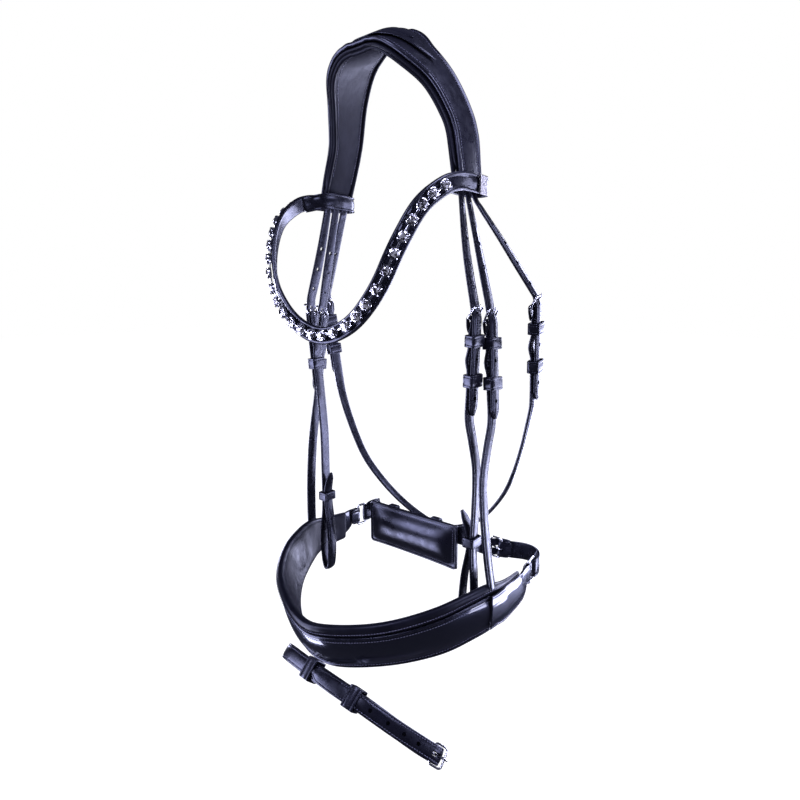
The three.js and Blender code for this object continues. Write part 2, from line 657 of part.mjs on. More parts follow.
const NOSE_SPANS = [2, 2, 2, 3, 3, 3, 3, 3, 3, 3, 3, 3, 3, 2, 2, 2];
const SHELL_TRIM = 6;             // stations left free for each end tab
function noseband() {
  addPiece('noseband_padding',
    shapedStrap(NOSE_FULL, NOSE_SPANS, orient(PADDING_PROFILE), 50), padding());
  addPiece('noseband_shell',
    shapedStrap(NOSE_FULL, NOSE_SPANS, orient(SHELL_PROFILE).reverse(), 50, SHELL_TRIM), patent());
}
// The band runs from right to left, so its across direction points down.
function orient(profile) {
  return profile.map(([u, v]) => [-u, v]);
}

// ---- end tabs, crank rings, crank strap and chin pad ----
const RING_LENGTH = 13;
function tabFrame(side) {
  return localFrame(onSide(side, 117.7, 83, -474), onSide(side, -0.08, 1, 0),
    onSide(side, 1, 0.08, 0));
}
function endTab(side) {
  const frame = tabFrame(side);
  const rows = foldRows(frame, 20);
  const add = (x, y, z, width) => rows.push([side * x, y, z, side, 0, 0, width, LOWER_THICK]);
  add(119.9, 61, -479, 28);
  add(120.9, 42, -480.5, 31);
  add(121.9, 24, -480, 33);
  add(121.6, 13, -479.5, 31);
  addPiece(`${sideName(side)}_noseband_tab`, strap(rows, [...FOLD_SPANS, 2, 2, 2, 1]), patent());
}
function crankRing(side) {
  const frame = tabFrame(side);
  const outline = roundedRectangle(RING_LENGTH / 2, 12.2, 2.6, 3);
  const points = outline.map(([a, b]) => frame.at(a + RING_LENGTH / 2, BAR_DEPTH, b));
  addPiece(`${sideName(side)}_crank_ring`, wireHoop(points, 1.3), steel());
}
// At the ring's rear bar the frame looks forwards, so the strap runs to the rear.
function crankFrame(side) {
  const tab = tabFrame(side);
  const bar = tab.at(RING_LENGTH, 0);
  return localFrame(bar, tab.s.clone().negate(), tab.n);
}
function ringFold(side) {
  const frame = crankFrame(side);
  const radius = 1.7 + SKIVED_THICK / 2;
  const rows = [row(frame, -9, BAR_DEPTH - radius + 0.3, [0, -1], 17, 1.4),
    row(frame, -4, BAR_DEPTH - radius, [0, -1], 18.6, SKIVED_THICK)];
  for (let k = 0; k <= 4; k += 1) {
    const a = (k / 4) * Math.PI;
    rows.push(row(frame, radius * Math.sin(a), BAR_DEPTH - radius * Math.cos(a),
      [Math.sin(a), -Math.cos(a)], 18.6, SKIVED_THICK));
  }
  rows.push(row(frame, -6, BAR_DEPTH + radius, [0, 1], 18.6, SKIVED_THICK));
  return rows;
}
const RING_SPANS = [1, 1, 2, 2, 2, 2, 1];
function crankBuckleFrame() {
  return localFrame(vec(79.5, 91.5, -462), vec(-0.85, -0.52, 0.08), vec(-0.52, 0.85, 0));
}
function crankParts() {
  const buckle = crankBuckleFrame();
  const ring = ringFold(1);
  const chape = [...foldRows(buckle, CRANK_WIDTH - 2)];
  chape.push([99.5, 105.5, -465, -0.45, 0.9, 0, CRANK_WIDTH - 2, 2.6]);
  chape.push([107.5, 110.8, -468.5, 0.1, 1, 0, CRANK_WIDTH - 2, 2.6]);
  chape.push([113.8, 108.5, -471.5, 0.8, 0.6, 0, CRANK_WIDTH - 2, 2.6]);
  chape.push(...ring.reverse());
  const chapeSpans = [...FOLD_SPANS, 2, 2, 3, 2, ...RING_SPANS.slice().reverse()];
  addPiece('crank_chape',
    subtractAll(strap(chape, chapeSpans), [tongueSlot(buckle)]), leather());
  addPiece('crank_buckle', buckleFrame(buckle, CRANK_WIDTH - 2), steel());
  addPiece('crank_buckle_tongue', buckleTongue(buckle), steel());

  const long = ringFold(-1);
  const put = (x, y, z, nx, ny, width = CRANK_WIDTH) => {
    long.push([x, y, z, nx, ny, 0, width, CRANK_THICK]);
  };
  put(-113.5, 106.5, -471, -0.85, 0.5);
  put(-107, 110.5, -468.5, -0.15, 1);
  put(-99, 105.5, -465, 0.5, 0.85);
  put(-89, 91.5, -460, 0.6, 0.8);
  put(-80, 83, -457.5, 0.3, 0.95);
  put(-70, 80.5, -457, 0, 1);
  put(28, 80.5, -457, 0, 1);
  put(46, 81.6, -457.5, -0.2, 0.98, CRANK_WIDTH - 1);
  const width = CRANK_WIDTH - 2;
  for (const [s, n] of [[18, 0.05], [10, 0.3], [5.5, 1.4], [1.5, 2.75], [-3, 2.95]]) {
    long.push(row(buckle, s, n, [0, 1], width, BILLET_THICK));
  }
  long.push(row(buckle, -9, 2.95, [0, 1], width * 0.9, BILLET_THICK));
  long.push(row(buckle, -14, 3.1, [0, 1], width * 0.35, BILLET_THICK));
  const longSpans = [...RING_SPANS, 2, 2, 2, 2, 2, 1, 2, 2, 2, 1, 1, 1, 1, 1, 3];
  const cutters = [punch(buckle, [[2.4, -1.9], [8.5, -1.9], [8.5, 1.9], [2.4, 1.9]])];
  for (const s of [22, 34]) cutters.push(punch(buckle, circle(s, HOLE_RADIUS), 14));
  addPiece('crank_strap', subtractAll(strap(long, longSpans), cutters), leather());
}

function chinPad() {
  const centre = [-24, 71.6, -470];
  const end = PAD_LENGTH / 2;
  const half = [[-end, 1.6, 0.965], [1.4 - end, 4, 1], [6 - end, 8.2, 0.985],
    [17 - end, 11.6, 0.96], [41 - end, 13, 0.945]];
  const rows = [...half, [0, 13.2, 0.94], ...half.map(([x, t, h]) => [-x, t, h]).reverse()];
  const rings = rows.map(([x, t, h]) => {
    const top = h * PAD_HEIGHT / 2;
    const edge = Math.min(t, 2.4) / 2;
    const back = 6.2;
    const side = [[back, 0.8 * top], [back - Math.min(t, 3) * 0.4, 0.95 * top],
      [back - t * 0.28 - edge, top], [back - t * 0.55, 0.93 * top], [back - t * 0.85, 0.75 * top],
      [back - t, 0.45 * top]];
    const whole = [...side, ...side.map(([y, z]) => [y, -z]).reverse()];
    return whole.map(([y, z]) => vec(centre[0] + x, centre[1] + y, centre[2] + z));
  });
  const cushion = loft(rings);
  const loops = [-30, 30].map((x) => {
    const frame = localFrame(vec(centre[0] + x, 80.5, -457), vec(1, 0, 0), vec(0, 1, 0));
    return keeper(frame, 0, CRANK_WIDTH, -CRANK_THICK / 2, CRANK_THICK / 2, 11, 2.2);
  });
  addPiece('chin_pad', joinAll([cushion, ...loops]), padding());
}

// ---- flash strap ----
const FLASH_PATH = [
  // [distance from the buckle bar, x, y, z, nx, ny, nz]
  [-168, -52, -87.5, -540.5, 0.2, -0.72, 0.66],
  [-120, -5, -92.5, -540, 0.25, -0.72, 0.65],
  [-62, 51, -88, -548.5, 0.35, -0.68, 0.66],
  [-20, 88.5, -70, -572.5, 0.5, -0.56, 0.66],
  [0, 104.5, -58, -586, 0.54, -0.5, 0.67],
  [14, 115, -49.5, -596, 0.56, -0.48, 0.67],
];
const FLASH_TABLE = stations(
  FLASH_PATH.map(([d, ...rest]) => [...rest, d, 1]), 12,
);
function flashFrame(distance) {
  const at = FLASH_TABLE.reduce((best, st) => (
    Math.abs(st.width - distance) < Math.abs(best.width - distance) ? st : best));
  return localFrame(at.centre, at.along, at.face);
}
function flashRow(s, n, normal, width = FLASH_WIDTH, thick = FLASH_THICK) {
  const frame = flashFrame(s);
  return row(frame, s - FLASH_TABLE.reduce((best, st) => (
    Math.abs(st.width - s) < Math.abs(best.width - s) ? st : best)).width, n, normal, width, thick);
}
function flashStrap() {
  const buckle = flashFrame(0);
  const rows = foldRows(buckle, FLASH_WIDTH);
  const spans = [...FOLD_SPANS];
  const put = (s, n, normal, steps, width = FLASH_WIDTH, thick = FLASH_THICK) => {
    rows.push(flashRow(s, n, normal, width, thick));
    spans.push(steps);
  };
  for (const s of [-30, -62, -92, -120, -150]) put(s, -0.65, [0, 1], 2);
  put(-162, -1, [-0.1, 1], 2);
  put(-167.5, -4.2, [-1, 0.1], 3);
  put(-162, -7.4, [-0.1, -1], 3);
  for (const s of [-150, -120, -92, -62, -30]) put(s, -7.6, [0, -1], 2);
  put(-10, -7.6, [0, -1], 1);
  put(-1, -7.2, [0.2, -1], 1);
  put(4.6, -4.6, [0.8, -0.6], 2);
  put(6.3, -1, [1, 0], 1);
  put(4.6, 2.1, [0.7, 0.7], 1);
  put(0.5, 3.1, [0.1, 1], 1);
  for (const s of [-4, -30, -62, -92]) put(s, 3.05, [0, 1], 2);
  put(-106, 3.05, [0, 1], 1, FLASH_WIDTH * 0.95);
  put(-112, 3.05, [0, 1], 2, FLASH_WIDTH * 0.8);
  put(-118, 3.05, [0, 1], 2, FLASH_WIDTH * 0.3);
  const cutters = [tongueSlot(buckle)];
  cutters.push(punch(localFrame(buckle.at(6, 0), buckle.n, buckle.s),
    [[-4.2, -1.7], [4.8, -1.7], [4.8, 1.7], [-4.2, 1.7]], 2.4));
  for (const s of [-14, -27, -40, -52]) {
    const near = flashFrame(s);
    const holeFrame = localFrame(near.at(0, 3.05), near.s, near.n);
    cutters.push(punch(holeFrame, circle(0, 1.8), 2.2));
  }
  addPiece('flash_strap', subtractAll(strap(rows, spans), cutters), leather());
  addPiece('flash_buckle', buckleFrame(buckle, FLASH_WIDTH), steel());
  addPiece('flash_buckle_tongue', buckleTongue(buckle), steel());
  addPiece('flash_keeper', keeper(flashFrame(-70), 0, FLASH_WIDTH + 0.6, -9.2, 4.7, 12), leather());
  addPiece('flash_loop', keeper(flashFrame(-126), 0, FLASH_WIDTH + 1, -9.8, 1.5, 11), leather());
}

headpiece();
browband();
for (const side of [1, -1]) {
  clincher(side);
  for (const kind of Object.keys(SIDE_STRAPS)) {
    sideBillet(kind, side);
    sideBuckle(kind, side);
  }
  cheekpiece(side);
  hanger(side);
  endTab(side);
  crankRing(side);
}
throatlatch();
noseband();
crankParts();
chinPad();
flashStrap();

export default bridle;
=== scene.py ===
"""The looks of the snaffle bridle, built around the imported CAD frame.

Metres, +Z up, -Y towards the horse's nose, +X the horse's left side. Every strap is read
back from its CAD solid as a path with a width and a thickness, and gets a finished leather
section, holes and stitching. Padded pieces are smooth cages or cloth, metal is swept wire.
"""
import json
import math
from collections import defaultdict

import bmesh
import bpy
import numpy as np
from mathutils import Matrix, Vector

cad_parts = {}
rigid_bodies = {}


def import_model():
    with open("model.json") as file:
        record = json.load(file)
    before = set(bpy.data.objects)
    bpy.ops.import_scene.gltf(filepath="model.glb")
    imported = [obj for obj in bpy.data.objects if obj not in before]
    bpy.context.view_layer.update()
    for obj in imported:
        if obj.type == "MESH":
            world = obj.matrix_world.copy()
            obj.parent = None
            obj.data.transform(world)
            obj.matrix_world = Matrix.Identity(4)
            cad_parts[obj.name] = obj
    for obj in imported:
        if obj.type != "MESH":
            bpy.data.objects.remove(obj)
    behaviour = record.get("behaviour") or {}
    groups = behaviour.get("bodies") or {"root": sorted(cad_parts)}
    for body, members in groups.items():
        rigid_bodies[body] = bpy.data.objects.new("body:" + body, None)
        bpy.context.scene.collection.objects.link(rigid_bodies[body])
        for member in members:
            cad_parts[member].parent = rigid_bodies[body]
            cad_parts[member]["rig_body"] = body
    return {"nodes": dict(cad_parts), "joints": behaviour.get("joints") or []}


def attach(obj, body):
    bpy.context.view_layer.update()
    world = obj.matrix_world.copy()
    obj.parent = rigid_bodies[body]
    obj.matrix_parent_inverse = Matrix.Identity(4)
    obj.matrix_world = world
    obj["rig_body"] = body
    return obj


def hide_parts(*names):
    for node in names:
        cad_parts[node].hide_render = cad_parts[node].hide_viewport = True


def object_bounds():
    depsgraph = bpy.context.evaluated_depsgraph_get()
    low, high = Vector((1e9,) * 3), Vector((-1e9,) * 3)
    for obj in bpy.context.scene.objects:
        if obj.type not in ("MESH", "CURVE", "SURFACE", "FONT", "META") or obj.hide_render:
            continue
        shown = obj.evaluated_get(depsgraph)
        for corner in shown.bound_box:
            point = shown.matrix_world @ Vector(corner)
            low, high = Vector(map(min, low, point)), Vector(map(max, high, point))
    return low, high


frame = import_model()
CAD_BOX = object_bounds()
NODES = frame["nodes"]
JOINTS = {j["name"]: j for j in frame["joints"]}
BODY = {n: o["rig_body"] for n, o in NODES.items()}
MM = 0.001
SIDES = ("left", "right")
STRAP_KINDS = ("cheek", "noseband", "throat")

# ---- camera and studio ----
EYE = Vector((0.3501, -0.3997, -0.204))
LOOK_AT = Vector((0.0, 0.025, -0.307))
LENS = 25.71
FLOOR_DROP = 0.03            # floor, below the lowest point of the bridle
FLOOR_SIZE = 6.0
COOL = (0.72, 0.74, 1.0)     # tint of the lamps and of the leather's gloss
ROOM_TINT = (0.6, 0.63, 1.0)
ROOM_GLOW = 0.06
LAMPS_FACE = Vector((0, 0.02, -0.3))
LAMPS = {                    # place, width and height in metres, power in watts
    "front_left_bank": ((-0.9, -1.05, -0.65), 0.6, 1.9, 46),
    "rear_bank": ((0.1, 1.4, -0.35), 0.5, 1.4, 36),
    "far_left": ((-1.3, 0.3, -0.42), 0.3, 0.5, 12),
    "right": ((1.25, 0.22, -0.36), 0.34, 0.42, 5),
    "beside_tab": ((0.33, 0.3, -0.54), 0.16, 0.16, 1.1),
    "near_strip": ((0.7, 1.0, -0.45), 0.2, 1.2, 10),
    "high_right": ((0.75, 0.3, 0.75), 0.5, 0.5, 11),
    "high_front": ((0.1, -0.9, 0.7), 0.25, 0.5, 8),
}

# ---- leather work ----
STATION = 2.6 * MM           # longest step along a finished strap
CREASE_INSET = 1.9 * MM      # crease line, in from each edge
CREASE_DEPTH = 0.3 * MM
STITCH_PITCH = 2.5 * MM
STITCH_LENGTH = 1.7 * MM
STITCH_RADIUS = 0.28 * MM
SLOT_HALF = 1.8 * MM         # half width of a buckle tongue's slot
BAR_DEPTH = 2.05 * MM        # buckle bar, behind the strap's face line
BUCKLE_LEAN = 0.525          # how far a buckle stands out from its strap, over its length
WIRE_CORNER = 2.6 * MM       # centre line radius at a buckle's corners
RING_WIRE = 1.3 * MM         # radius of a crank ring's wire
HOLE_DEPTH = 4.4 * MM        # reach of a punched hole's cutter, each way from the strap's middle
SLOT_DEPTH = 11 * MM         # reach of a slot's cutter, enough for a turned end's two layers
FOLD_SLOT = (-2.6 * MM, 6 * MM)      # a slot's ends, up the strap from the buckle's bar
BILLET_SLOT = (2.4 * MM, 8.5 * MM)
SEAM = (26 * MM, 58 * MM)    # a turned end is sewn down between these distances
PLAIN_END = 22 * MM          # stretch without stitches by a crank or flash buckle
LINING_ROLL = 1.9 * MM       # radius of the roll along each edge of the lining
LINING_TIP = 16 * MM         # lining, carried on past its CAD solid at both ends
ROLL_TIP = 15 * MM           # its rolls, carried on
NOSEBAND_PIPING = 1.5 * MM
PAD_PIPING = 1.25 * MM
SETTING_TABLE = (5.22 * MM, 5.83 * MM)   # flat top of a CAD stone setting
SETTING_HEIGHT = 5.2 * MM
PAD_BORDER = 5 * MM          # flat border round the chin pad's cushion
PAD_BULGE = 3 * MM           # most the cushion may swell
PAD_LOOP_WALL = 2.2 * MM     # leather of the loops behind it
PAD_EDGE = 3.6 * MM          # border's face, in front of the cushion's back
PAD_CORNER = 3.2 * MM        # radius of the piping's corners
TAB_TUCK = 10 * MM           # noseband tabs, carried on over the end of the noseband
HANGER_TUCK = 7 * MM         # noseband hangers, carried on behind the noseband's edge

# ---- finding edges on a CAD solid ----
SHARP = math.radians(55)
CORNER = math.radians(28)
FLAT = math.radians(1.5)
WIDEST_STRAP = 70 * MM
MOST_GROWTH = 2.2            # of a strap's section, from one ring to the next
WELD = 0.003 * MM            # points nearer than this are one point
HOLE_RADII = (1.3 * MM, 2.4 * MM)
HOLE_GAP = 5 * MM            # two rims nearer than this belong to one hole


# ======== small vector helpers ========
def unit(v):
    return v / np.maximum(np.linalg.norm(v, axis=-1, keepdims=True), 1e-12)


def spline(values, steps):
    """Catmull-Rom values through the rows of an array, with a number of steps for each gap."""
    out = []
    last = len(values) - 1
    for i in range(last):
        p0 = values[max(i - 1, 0)]
        p1 = values[i]
        p2 = values[i + 1]
        p3 = values[min(i + 2, last)]
        for k in range(steps[i]):
            t = k / steps[i]
            out.append(0.5 * (2 * p1 + (p2 - p0) * t + (2 * p0 - 5 * p1 + 4 * p2 - p3) * t * t
                              + (3 * p1 - p0 - 3 * p2 + p3) * t ** 3))
    out.append(values[last])
    return np.array(out)


def steps_for(line, longest):
    """The number of steps each gap of a line needs, so that none is longer than longest."""
    return [max(1, int(math.ceil(g / longest))) for g in np.diff(lengths_of(line))]


def lengths_of(points):
    """Distance travelled at each point of a line."""
    return np.concatenate([[0], np.cumsum(np.linalg.norm(np.diff(points, axis=0), axis=1))])


# ======== reading shapes back from the frame ========
class Solid:
    """A CAD node's mesh with its shared points joined, as plain lists."""

    def __init__(self, node):
        mesh = bmesh.new()
        mesh.from_mesh(NODES[node].data)
        bmesh.ops.remove_doubles(mesh, verts=mesh.verts, dist=WELD)
        for part in (mesh.verts, mesh.edges, mesh.faces):
            part.index_update()
        self.points = np.array([v.co for v in mesh.verts], float)
        self.near = defaultdict(set)
        self.sharp = defaultdict(set)
        self.angle = {}
        self.flat = defaultdict(set)
        self.faces = [[v.index for v in f.verts] for f in mesh.faces]
        for e in mesh.edges:
            a, b = (v.index for v in e.verts)
            self.near[a].add(b)
            self.near[b].add(a)
            angle = e.calc_face_angle(0.0)
            self.angle[frozenset((a, b))] = angle
            if angle > SHARP:
                self.sharp[a].add(b)
                self.sharp[b].add(a)
            if angle < FLAT:
                f, g = (x.index for x in e.link_faces)
                self.flat[f].add(g)
                self.flat[g].add(f)
        mesh.free()

    def outlines(self):
        """The outline of every flat patch, as an ordered list of points, with its face count."""
        seen = set()
        for first in range(len(self.faces)):
            if first in seen:
                continue
            group = reach([first], self.flat)
            seen |= group
            sides = defaultdict(int)
            for f in group:
                corners = self.faces[f]
                for a, b in zip(corners, corners[1:] + corners[:1]):
                    sides[frozenset((a, b))] += 1
            ring = chain([s for s, n in sides.items() if n == 1])
            if ring:
                yield ring, len(group)

    def sharp_sets(self):
        """Points joined by sharp edges, the largest set first."""
        seen = set()
        sets = []
        for v in sorted(self.sharp):
            if v not in seen:
                group = reach([v], self.sharp)
                seen |= group
                sets.append(group)
        return sorted(sets, key=lambda s: (-len(s), min(s)))


def reach(start, links):
    group = set()
    stack = list(start)
    while stack:
        v = stack.pop()
        if v not in group:
            group.add(v)
            stack.extend(links[v] - group)
    return group


def chain(sides):
    """One closed ring of points from its unordered sides, or None."""
    links = defaultdict(list)
    for a, b in (sorted(s) for s in sides):
        links[a].append(b)
        links[b].append(a)
    if not links or any(len(x) != 2 for x in links.values()):
        return None
    ring = [min(links)]
    ring.append(min(links[ring[0]]))
    while len(ring) <= len(links):
        step = [v for v in links[ring[-1]] if v != ring[-2]]
        if not step or step[0] == ring[0]:
            break
        ring.append(step[0])
    return ring if len(ring) == len(links) else None


def strap_rings(node):
    """The four long edges of a strap's CAD solid, as rings of four corners from end to end."""
    solid = Solid(node)
    corners = solid.sharp_sets()[0]
    runs = []
    for ring, _ in solid.outlines():
        sides = [frozenset(s) for s in zip(ring, ring[1:] + ring[:1])]
        if len(ring) == 4 and corners.issuperset(ring) \
                and all(solid.angle[s] > CORNER for s in sides):
            run = walked(solid, ring)
            widest = max(spread(solid.points[r]) for r in run)
            if widest < WIDEST_STRAP:
                runs.append((-len(run), widest, run))
    runs = [r[2] for r in sorted(runs)]
    best = runs[0]
    taken = {v for ring in best for v in ring}
    if any(solid.sharp[v] - taken for v in best[-1]):
        rest = [r for r in runs[1:] if taken.isdisjoint(v for ring in r for v in ring)]
        best = best + matched(solid, best[-1], rest[0][::-1])
    return solid.points[np.array(best)]


def matched(solid, last, run):
    """A run of rings with its corners reordered to follow on from another ring."""
    orders = []
    for way in (1, -1):
        for k in range(4):
            order = [(k + way * j) % 4 for j in range(4)]
            gap = solid.points[[run[0][j] for j in order]] - solid.points[last]
            orders.append((np.abs(gap).sum(), order))
    order = min(orders)[1]
    return [[ring[j] for j in order] for ring in run]


def walked(solid, first):
    """Rings of corners reached one after another along sharp edges, while they stay compact."""
    rings = [first]
    used = set(first)
    size = spread(solid.points[first])
    while True:
        here = solid.points[rings[-1]]
        sides = [here[1] - here[0], here[2] - here[1]]
        width = unit(max(sides, key=np.linalg.norm))
        ahead = []
        for v in rings[-1]:
            fresh = sorted(solid.sharp[v] - used)
            steps = [abs(unit(solid.points[w] - solid.points[v]) @ width) for w in fresh]
            if fresh:
                ahead.append(fresh[int(np.argmin(steps))])
        if len(set(ahead)) < len(first):
            return rings
        grown = spread(solid.points[ahead])
        if grown > size * MOST_GROWTH + MM:
            return rings
        size = grown
        rings.append(ahead)
        used |= set(ahead)


def spread(points):
    return np.linalg.norm(points[:, None] - points[None, :], axis=2).max()


def loft_rings(node, count):
    """The rings of a lofted CAD solid whose section has count corners, from end to end."""
    solid = Solid(node)
    for first, faces in solid.outlines():
        if len(first) != count or faces != count - 2:
            continue
        rings = [first]
        used = set(first)
        while len(used) < len(solid.points):
            fresh = [solid.near[v] - used for v in rings[-1]]
            options = []
            for shift in (-1, 1):
                both = [fresh[k] & fresh[(k + shift) % count] for k in range(count)]
                if all(len(x) == 1 for x in both):
                    options.append([min(x) for x in both])
            if not options:
                break
            here = solid.points[rings[-1]]
            rings.append(min(options, key=lambda o: np.abs(solid.points[o] - here).sum()))
            used |= set(rings[-1])
        if len(used) == len(solid.points):
            return solid.points[np.array(rings)]
    raise ValueError(f"{node} is not a loft of {count} corners")


def hoop_rings(node):
    """The rings of a closed leather hoop, each as inner left, inner right, outer right, left."""
    solid = Solid(node)
    loops = []
    for group in solid.sharp_sets()[:4]:
        sides = {frozenset((a, b)) for a in group for b in solid.sharp[a]}
        loops.append(solid.points[chain(sides)])
    centre = solid.points.mean(axis=0)
    axis = unit(np.linalg.svd(loops[0] - loops[0].mean(axis=0))[2][2])
    size = [np.linalg.norm(p - p.mean(axis=0), axis=1).mean() for p in loops]
    inner = sorted(range(4), key=lambda k: size[k])[:2]
    side = [float((p.mean(axis=0) - centre) @ axis) for p in loops]
    order = sorted(inner, key=lambda k: side[k])
    order += sorted(set(range(4)) - set(inner), key=lambda k: -side[k])
    base = loops[order[0]]
    rings = []
    for p in base:
        rings.append([loops[k][np.argmin(np.linalg.norm(loops[k] - p, axis=1))] for k in order])
    return np.array(rings)


class Path:
    """Stations along a strap: centre, across, outward face, half width and half thickness."""

    def __init__(self, values):
        self.values = values

    @classmethod
    def from_rings(cls, rings, hub):
        """A path through rings of four corners, with its face turned away from a hub."""
        width = np.linalg.norm(rings[:, 1] - rings[:, 0], axis=1).mean()
        depth = np.linalg.norm(rings[:, 2] - rings[:, 1], axis=1).mean()
        if depth > width:
            rings = np.roll(rings, 1, axis=1)
        centre = rings.mean(axis=1)
        across = (rings[:, 1] + rings[:, 2] - rings[:, 0] - rings[:, 3]) / 2
        face = (rings[:, 2] + rings[:, 3] - rings[:, 0] - rings[:, 1]) / 2
        step = np.gradient(lengths_of(centre))
        if ((face * (centre - hub(centre))).sum(axis=1) * step).sum() < 0:
            face = -face
        return cls(np.hstack([centre, unit(across), unit(face),
                              np.linalg.norm(across, axis=1)[:, None] / 2,
                              np.linalg.norm(face, axis=1)[:, None] / 2]))

    def refined(self, longest=STATION, closed=False):
        """The same path as a smooth curve, with no gap longer than longest."""
        values = self.values
        if closed:
            values = np.vstack([values, values[:1]])
        steps = steps_for(values[:, :3], longest)
        if closed:
            around = np.vstack([values[-2:-1], values, values[1:2]])
            return Path(spline(around, [1] + steps + [1])[1:-2])
        return Path(spline(values, steps))

    centre = property(lambda self: self.values[:, 0:3])
    across = property(lambda self: unit(self.values[:, 3:6]))
    face = property(lambda self: unit(self.values[:, 6:9]))
    width = property(lambda self: self.values[:, 9])
    thick = property(lambda self: self.values[:, 10])

    def extend(self, distance):
        """Carries the lower end straight on."""
        if self.centre[0][2] < self.centre[-1][2]:
            self.values = self.values[::-1]
        last = self.values[-1].copy()
        last[:3] += unit(self.centre[-1] - self.centre[-3]) * distance
        self.values = np.vstack([self.values, last])

    def at(self, distance, u=0.0, v=0.0):
        """Point and directions at a distance along the path."""
        travelled = lengths_of(self.centre)
        row = np.array([np.interp(distance, travelled, c) for c in self.values.T])
        across = unit(row[3:6])
        face = unit(row[6:9])
        return row[:3] + across * u + face * v, across, face, row[9], row[10]

    def total(self):
        return lengths_of(self.centre)[-1]


def beside(centre):
    """Middle of the horse's head at each height, which every strap faces away from."""
    hub = centre.copy()
    hub[:, 0] = 0
    hub[:, 1] = 0.02
    return hub


def below(centre):
    """A point low inside the headpiece."""
    return np.zeros_like(centre) + np.array([0, 0, -0.12])


# ======== making meshes ========
def new_object(name, verts, faces, material, smooth=40):
    mesh = bpy.data.meshes.new(name)
    mesh.from_pydata([tuple(v) for v in verts], [], faces)
    shape = bmesh.new()
    shape.from_mesh(mesh)
    bmesh.ops.recalc_face_normals(shape, faces=shape.faces)
    shape.to_mesh(mesh)
    shape.free()
    mesh.shade_smooth()
    mesh.set_sharp_from_angle(angle=math.radians(smooth))
    mesh.materials.append(material)
    piece = bpy.data.objects.new(name, mesh)
    bpy.context.scene.collection.objects.link(piece)
    return piece


def grid_faces(rows, count, closed):
    """Quads between rows of points that go round, with filled ends unless the rows close."""
    faces = []
    for i in range(rows if closed else rows - 1):
        here = i * count
        ahead = ((i + 1) % rows) * count
        for k in range(count):
            j = (k + 1) % count
            faces.append((here + k, here + j, ahead + j, ahead + k))
    if not closed:
        faces.append(tuple(range(count)))
        faces.append(tuple(range((rows - 1) * count, rows * count)))
    return faces


def finish_piece(piece, body, slot, *nodes):
    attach(piece, body)
    if nodes:
        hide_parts(*nodes)
    return piece


def sweep(name, path, section, material, closed=False, smooth=38):
    """A section carried along a path. section(half width, half thickness) gives its outline."""
    rows = []
    for c, a, f, w, t in zip(path.centre, path.across, path.face, path.width, path.thick):
        rows.append([c + a * u + f * v for u, v in section(w, t)])
    if not closed:
        for end, inner in ((0, 1), (-1, -2)):
            tip = np.array(rows[end])
            away = unit(path.centre[end] - path.centre[inner])
            middle = tip.mean(axis=0)
            rim = middle + (tip - middle) * 0.8
            rim += away * min(path.thick[end] * 0.25, 0.3 * MM)
            rows.insert(0 if end == 0 else len(rows), list(rim))
    verts = np.array(rows).reshape(-1, 3)
    return new_object(name, verts, grid_faces(len(rows), len(rows[0]), closed), material, smooth)


def arc(cu, cv, radius, start, stop, steps=3):
    """Points of a circular arc, angles in degrees."""
    out = []
    for k in range(steps + 1):
        a = math.radians(start + (stop - start) * k / steps)
        out.append((cu + radius * math.cos(a), cv + radius * math.sin(a)))
    return out


def rounded_rectangle(half_u, half_v, radius, steps):
    """Points round a rectangle with round corners."""
    line = []
    for su, sv, start in ((1, 1, 0), (-1, 1, 90), (-1, -1, 180), (1, -1, 270)):
        line += arc(su * (half_u - radius), sv * (half_v - radius), radius, start, start + 90,
                    steps)
    return line


def mirrored(half, top):
    """A whole section from its right half, which runs from its back to near its top."""
    return half + [(0, top)] + [(-u, v) for u, v in reversed(half)]


def strap_section(w, t):
    """A strap with rounded edges, a crease inside each edge and a domed face."""
    r = min(t * 0.75, w * 0.4)
    edge = t - min(0.55 * MM, t * 0.35)
    crease = min(CREASE_INSET, w * 0.42)
    half = arc(w - r, -t + r, r, -90, 0) + arc(w - r, edge - r, r, 0, 90)
    half += [(w - crease * 0.8, edge), (w - crease, edge - CREASE_DEPTH),
             (w - crease * 1.25, edge + 0.08 * MM), (w * 0.42, t - 0.08 * MM)]
    return mirrored(half, t)


def keeper_section(w, t):
    """A keeper with well rounded edges and a crease line by each edge."""
    r = min(t * 0.8, w * 0.3)
    half = arc(w - r, -t + r, r, -90, 0) + arc(w - r, t - r, r, 0, 90)
    half += [(w * 0.66, t), (w * 0.6, t - 0.22 * MM), (w * 0.54, t)]
    return mirrored(half, t)


def wire_section(w, t, sides=12):
    return [(w * math.cos(2 * math.pi * k / sides), t * math.sin(2 * math.pi * k / sides))
            for k in range(sides)]


def cut(piece, cutters):
    """Takes closed cutter shapes out of a piece."""
    if not cutters:
        return
    verts = []
    faces = []
    for v, f in cutters:
        faces += [tuple(i + len(verts) for i in face) for face in f]
        verts += list(v)
    tool = new_object("cutter", verts, faces, piece.data.materials[0])
    change = piece.modifiers.new("holes", "BOOLEAN")
    change.operation = "DIFFERENCE"
    change.solver = "EXACT"
    change.object = tool
    apply_all(piece)
    bpy.data.objects.remove(tool)
    piece.data.set_sharp_from_angle(angle=math.radians(38))


def apply_all(piece):
    """Makes the result of a piece's modifiers its own mesh."""
    bpy.context.view_layer.update()
    graph = bpy.context.evaluated_depsgraph_get()
    mesh = bpy.data.meshes.new_from_object(piece.evaluated_get(graph))
    piece.modifiers.clear()
    piece.data = mesh


def subdivide(piece):
    """Rounds a cage by two steps of subdivision."""
    sub = piece.modifiers.new("smooth", "SUBSURF")
    sub.levels = 2
    sub.render_levels = 2
    apply_all(piece)
    piece.data.shade_smooth()


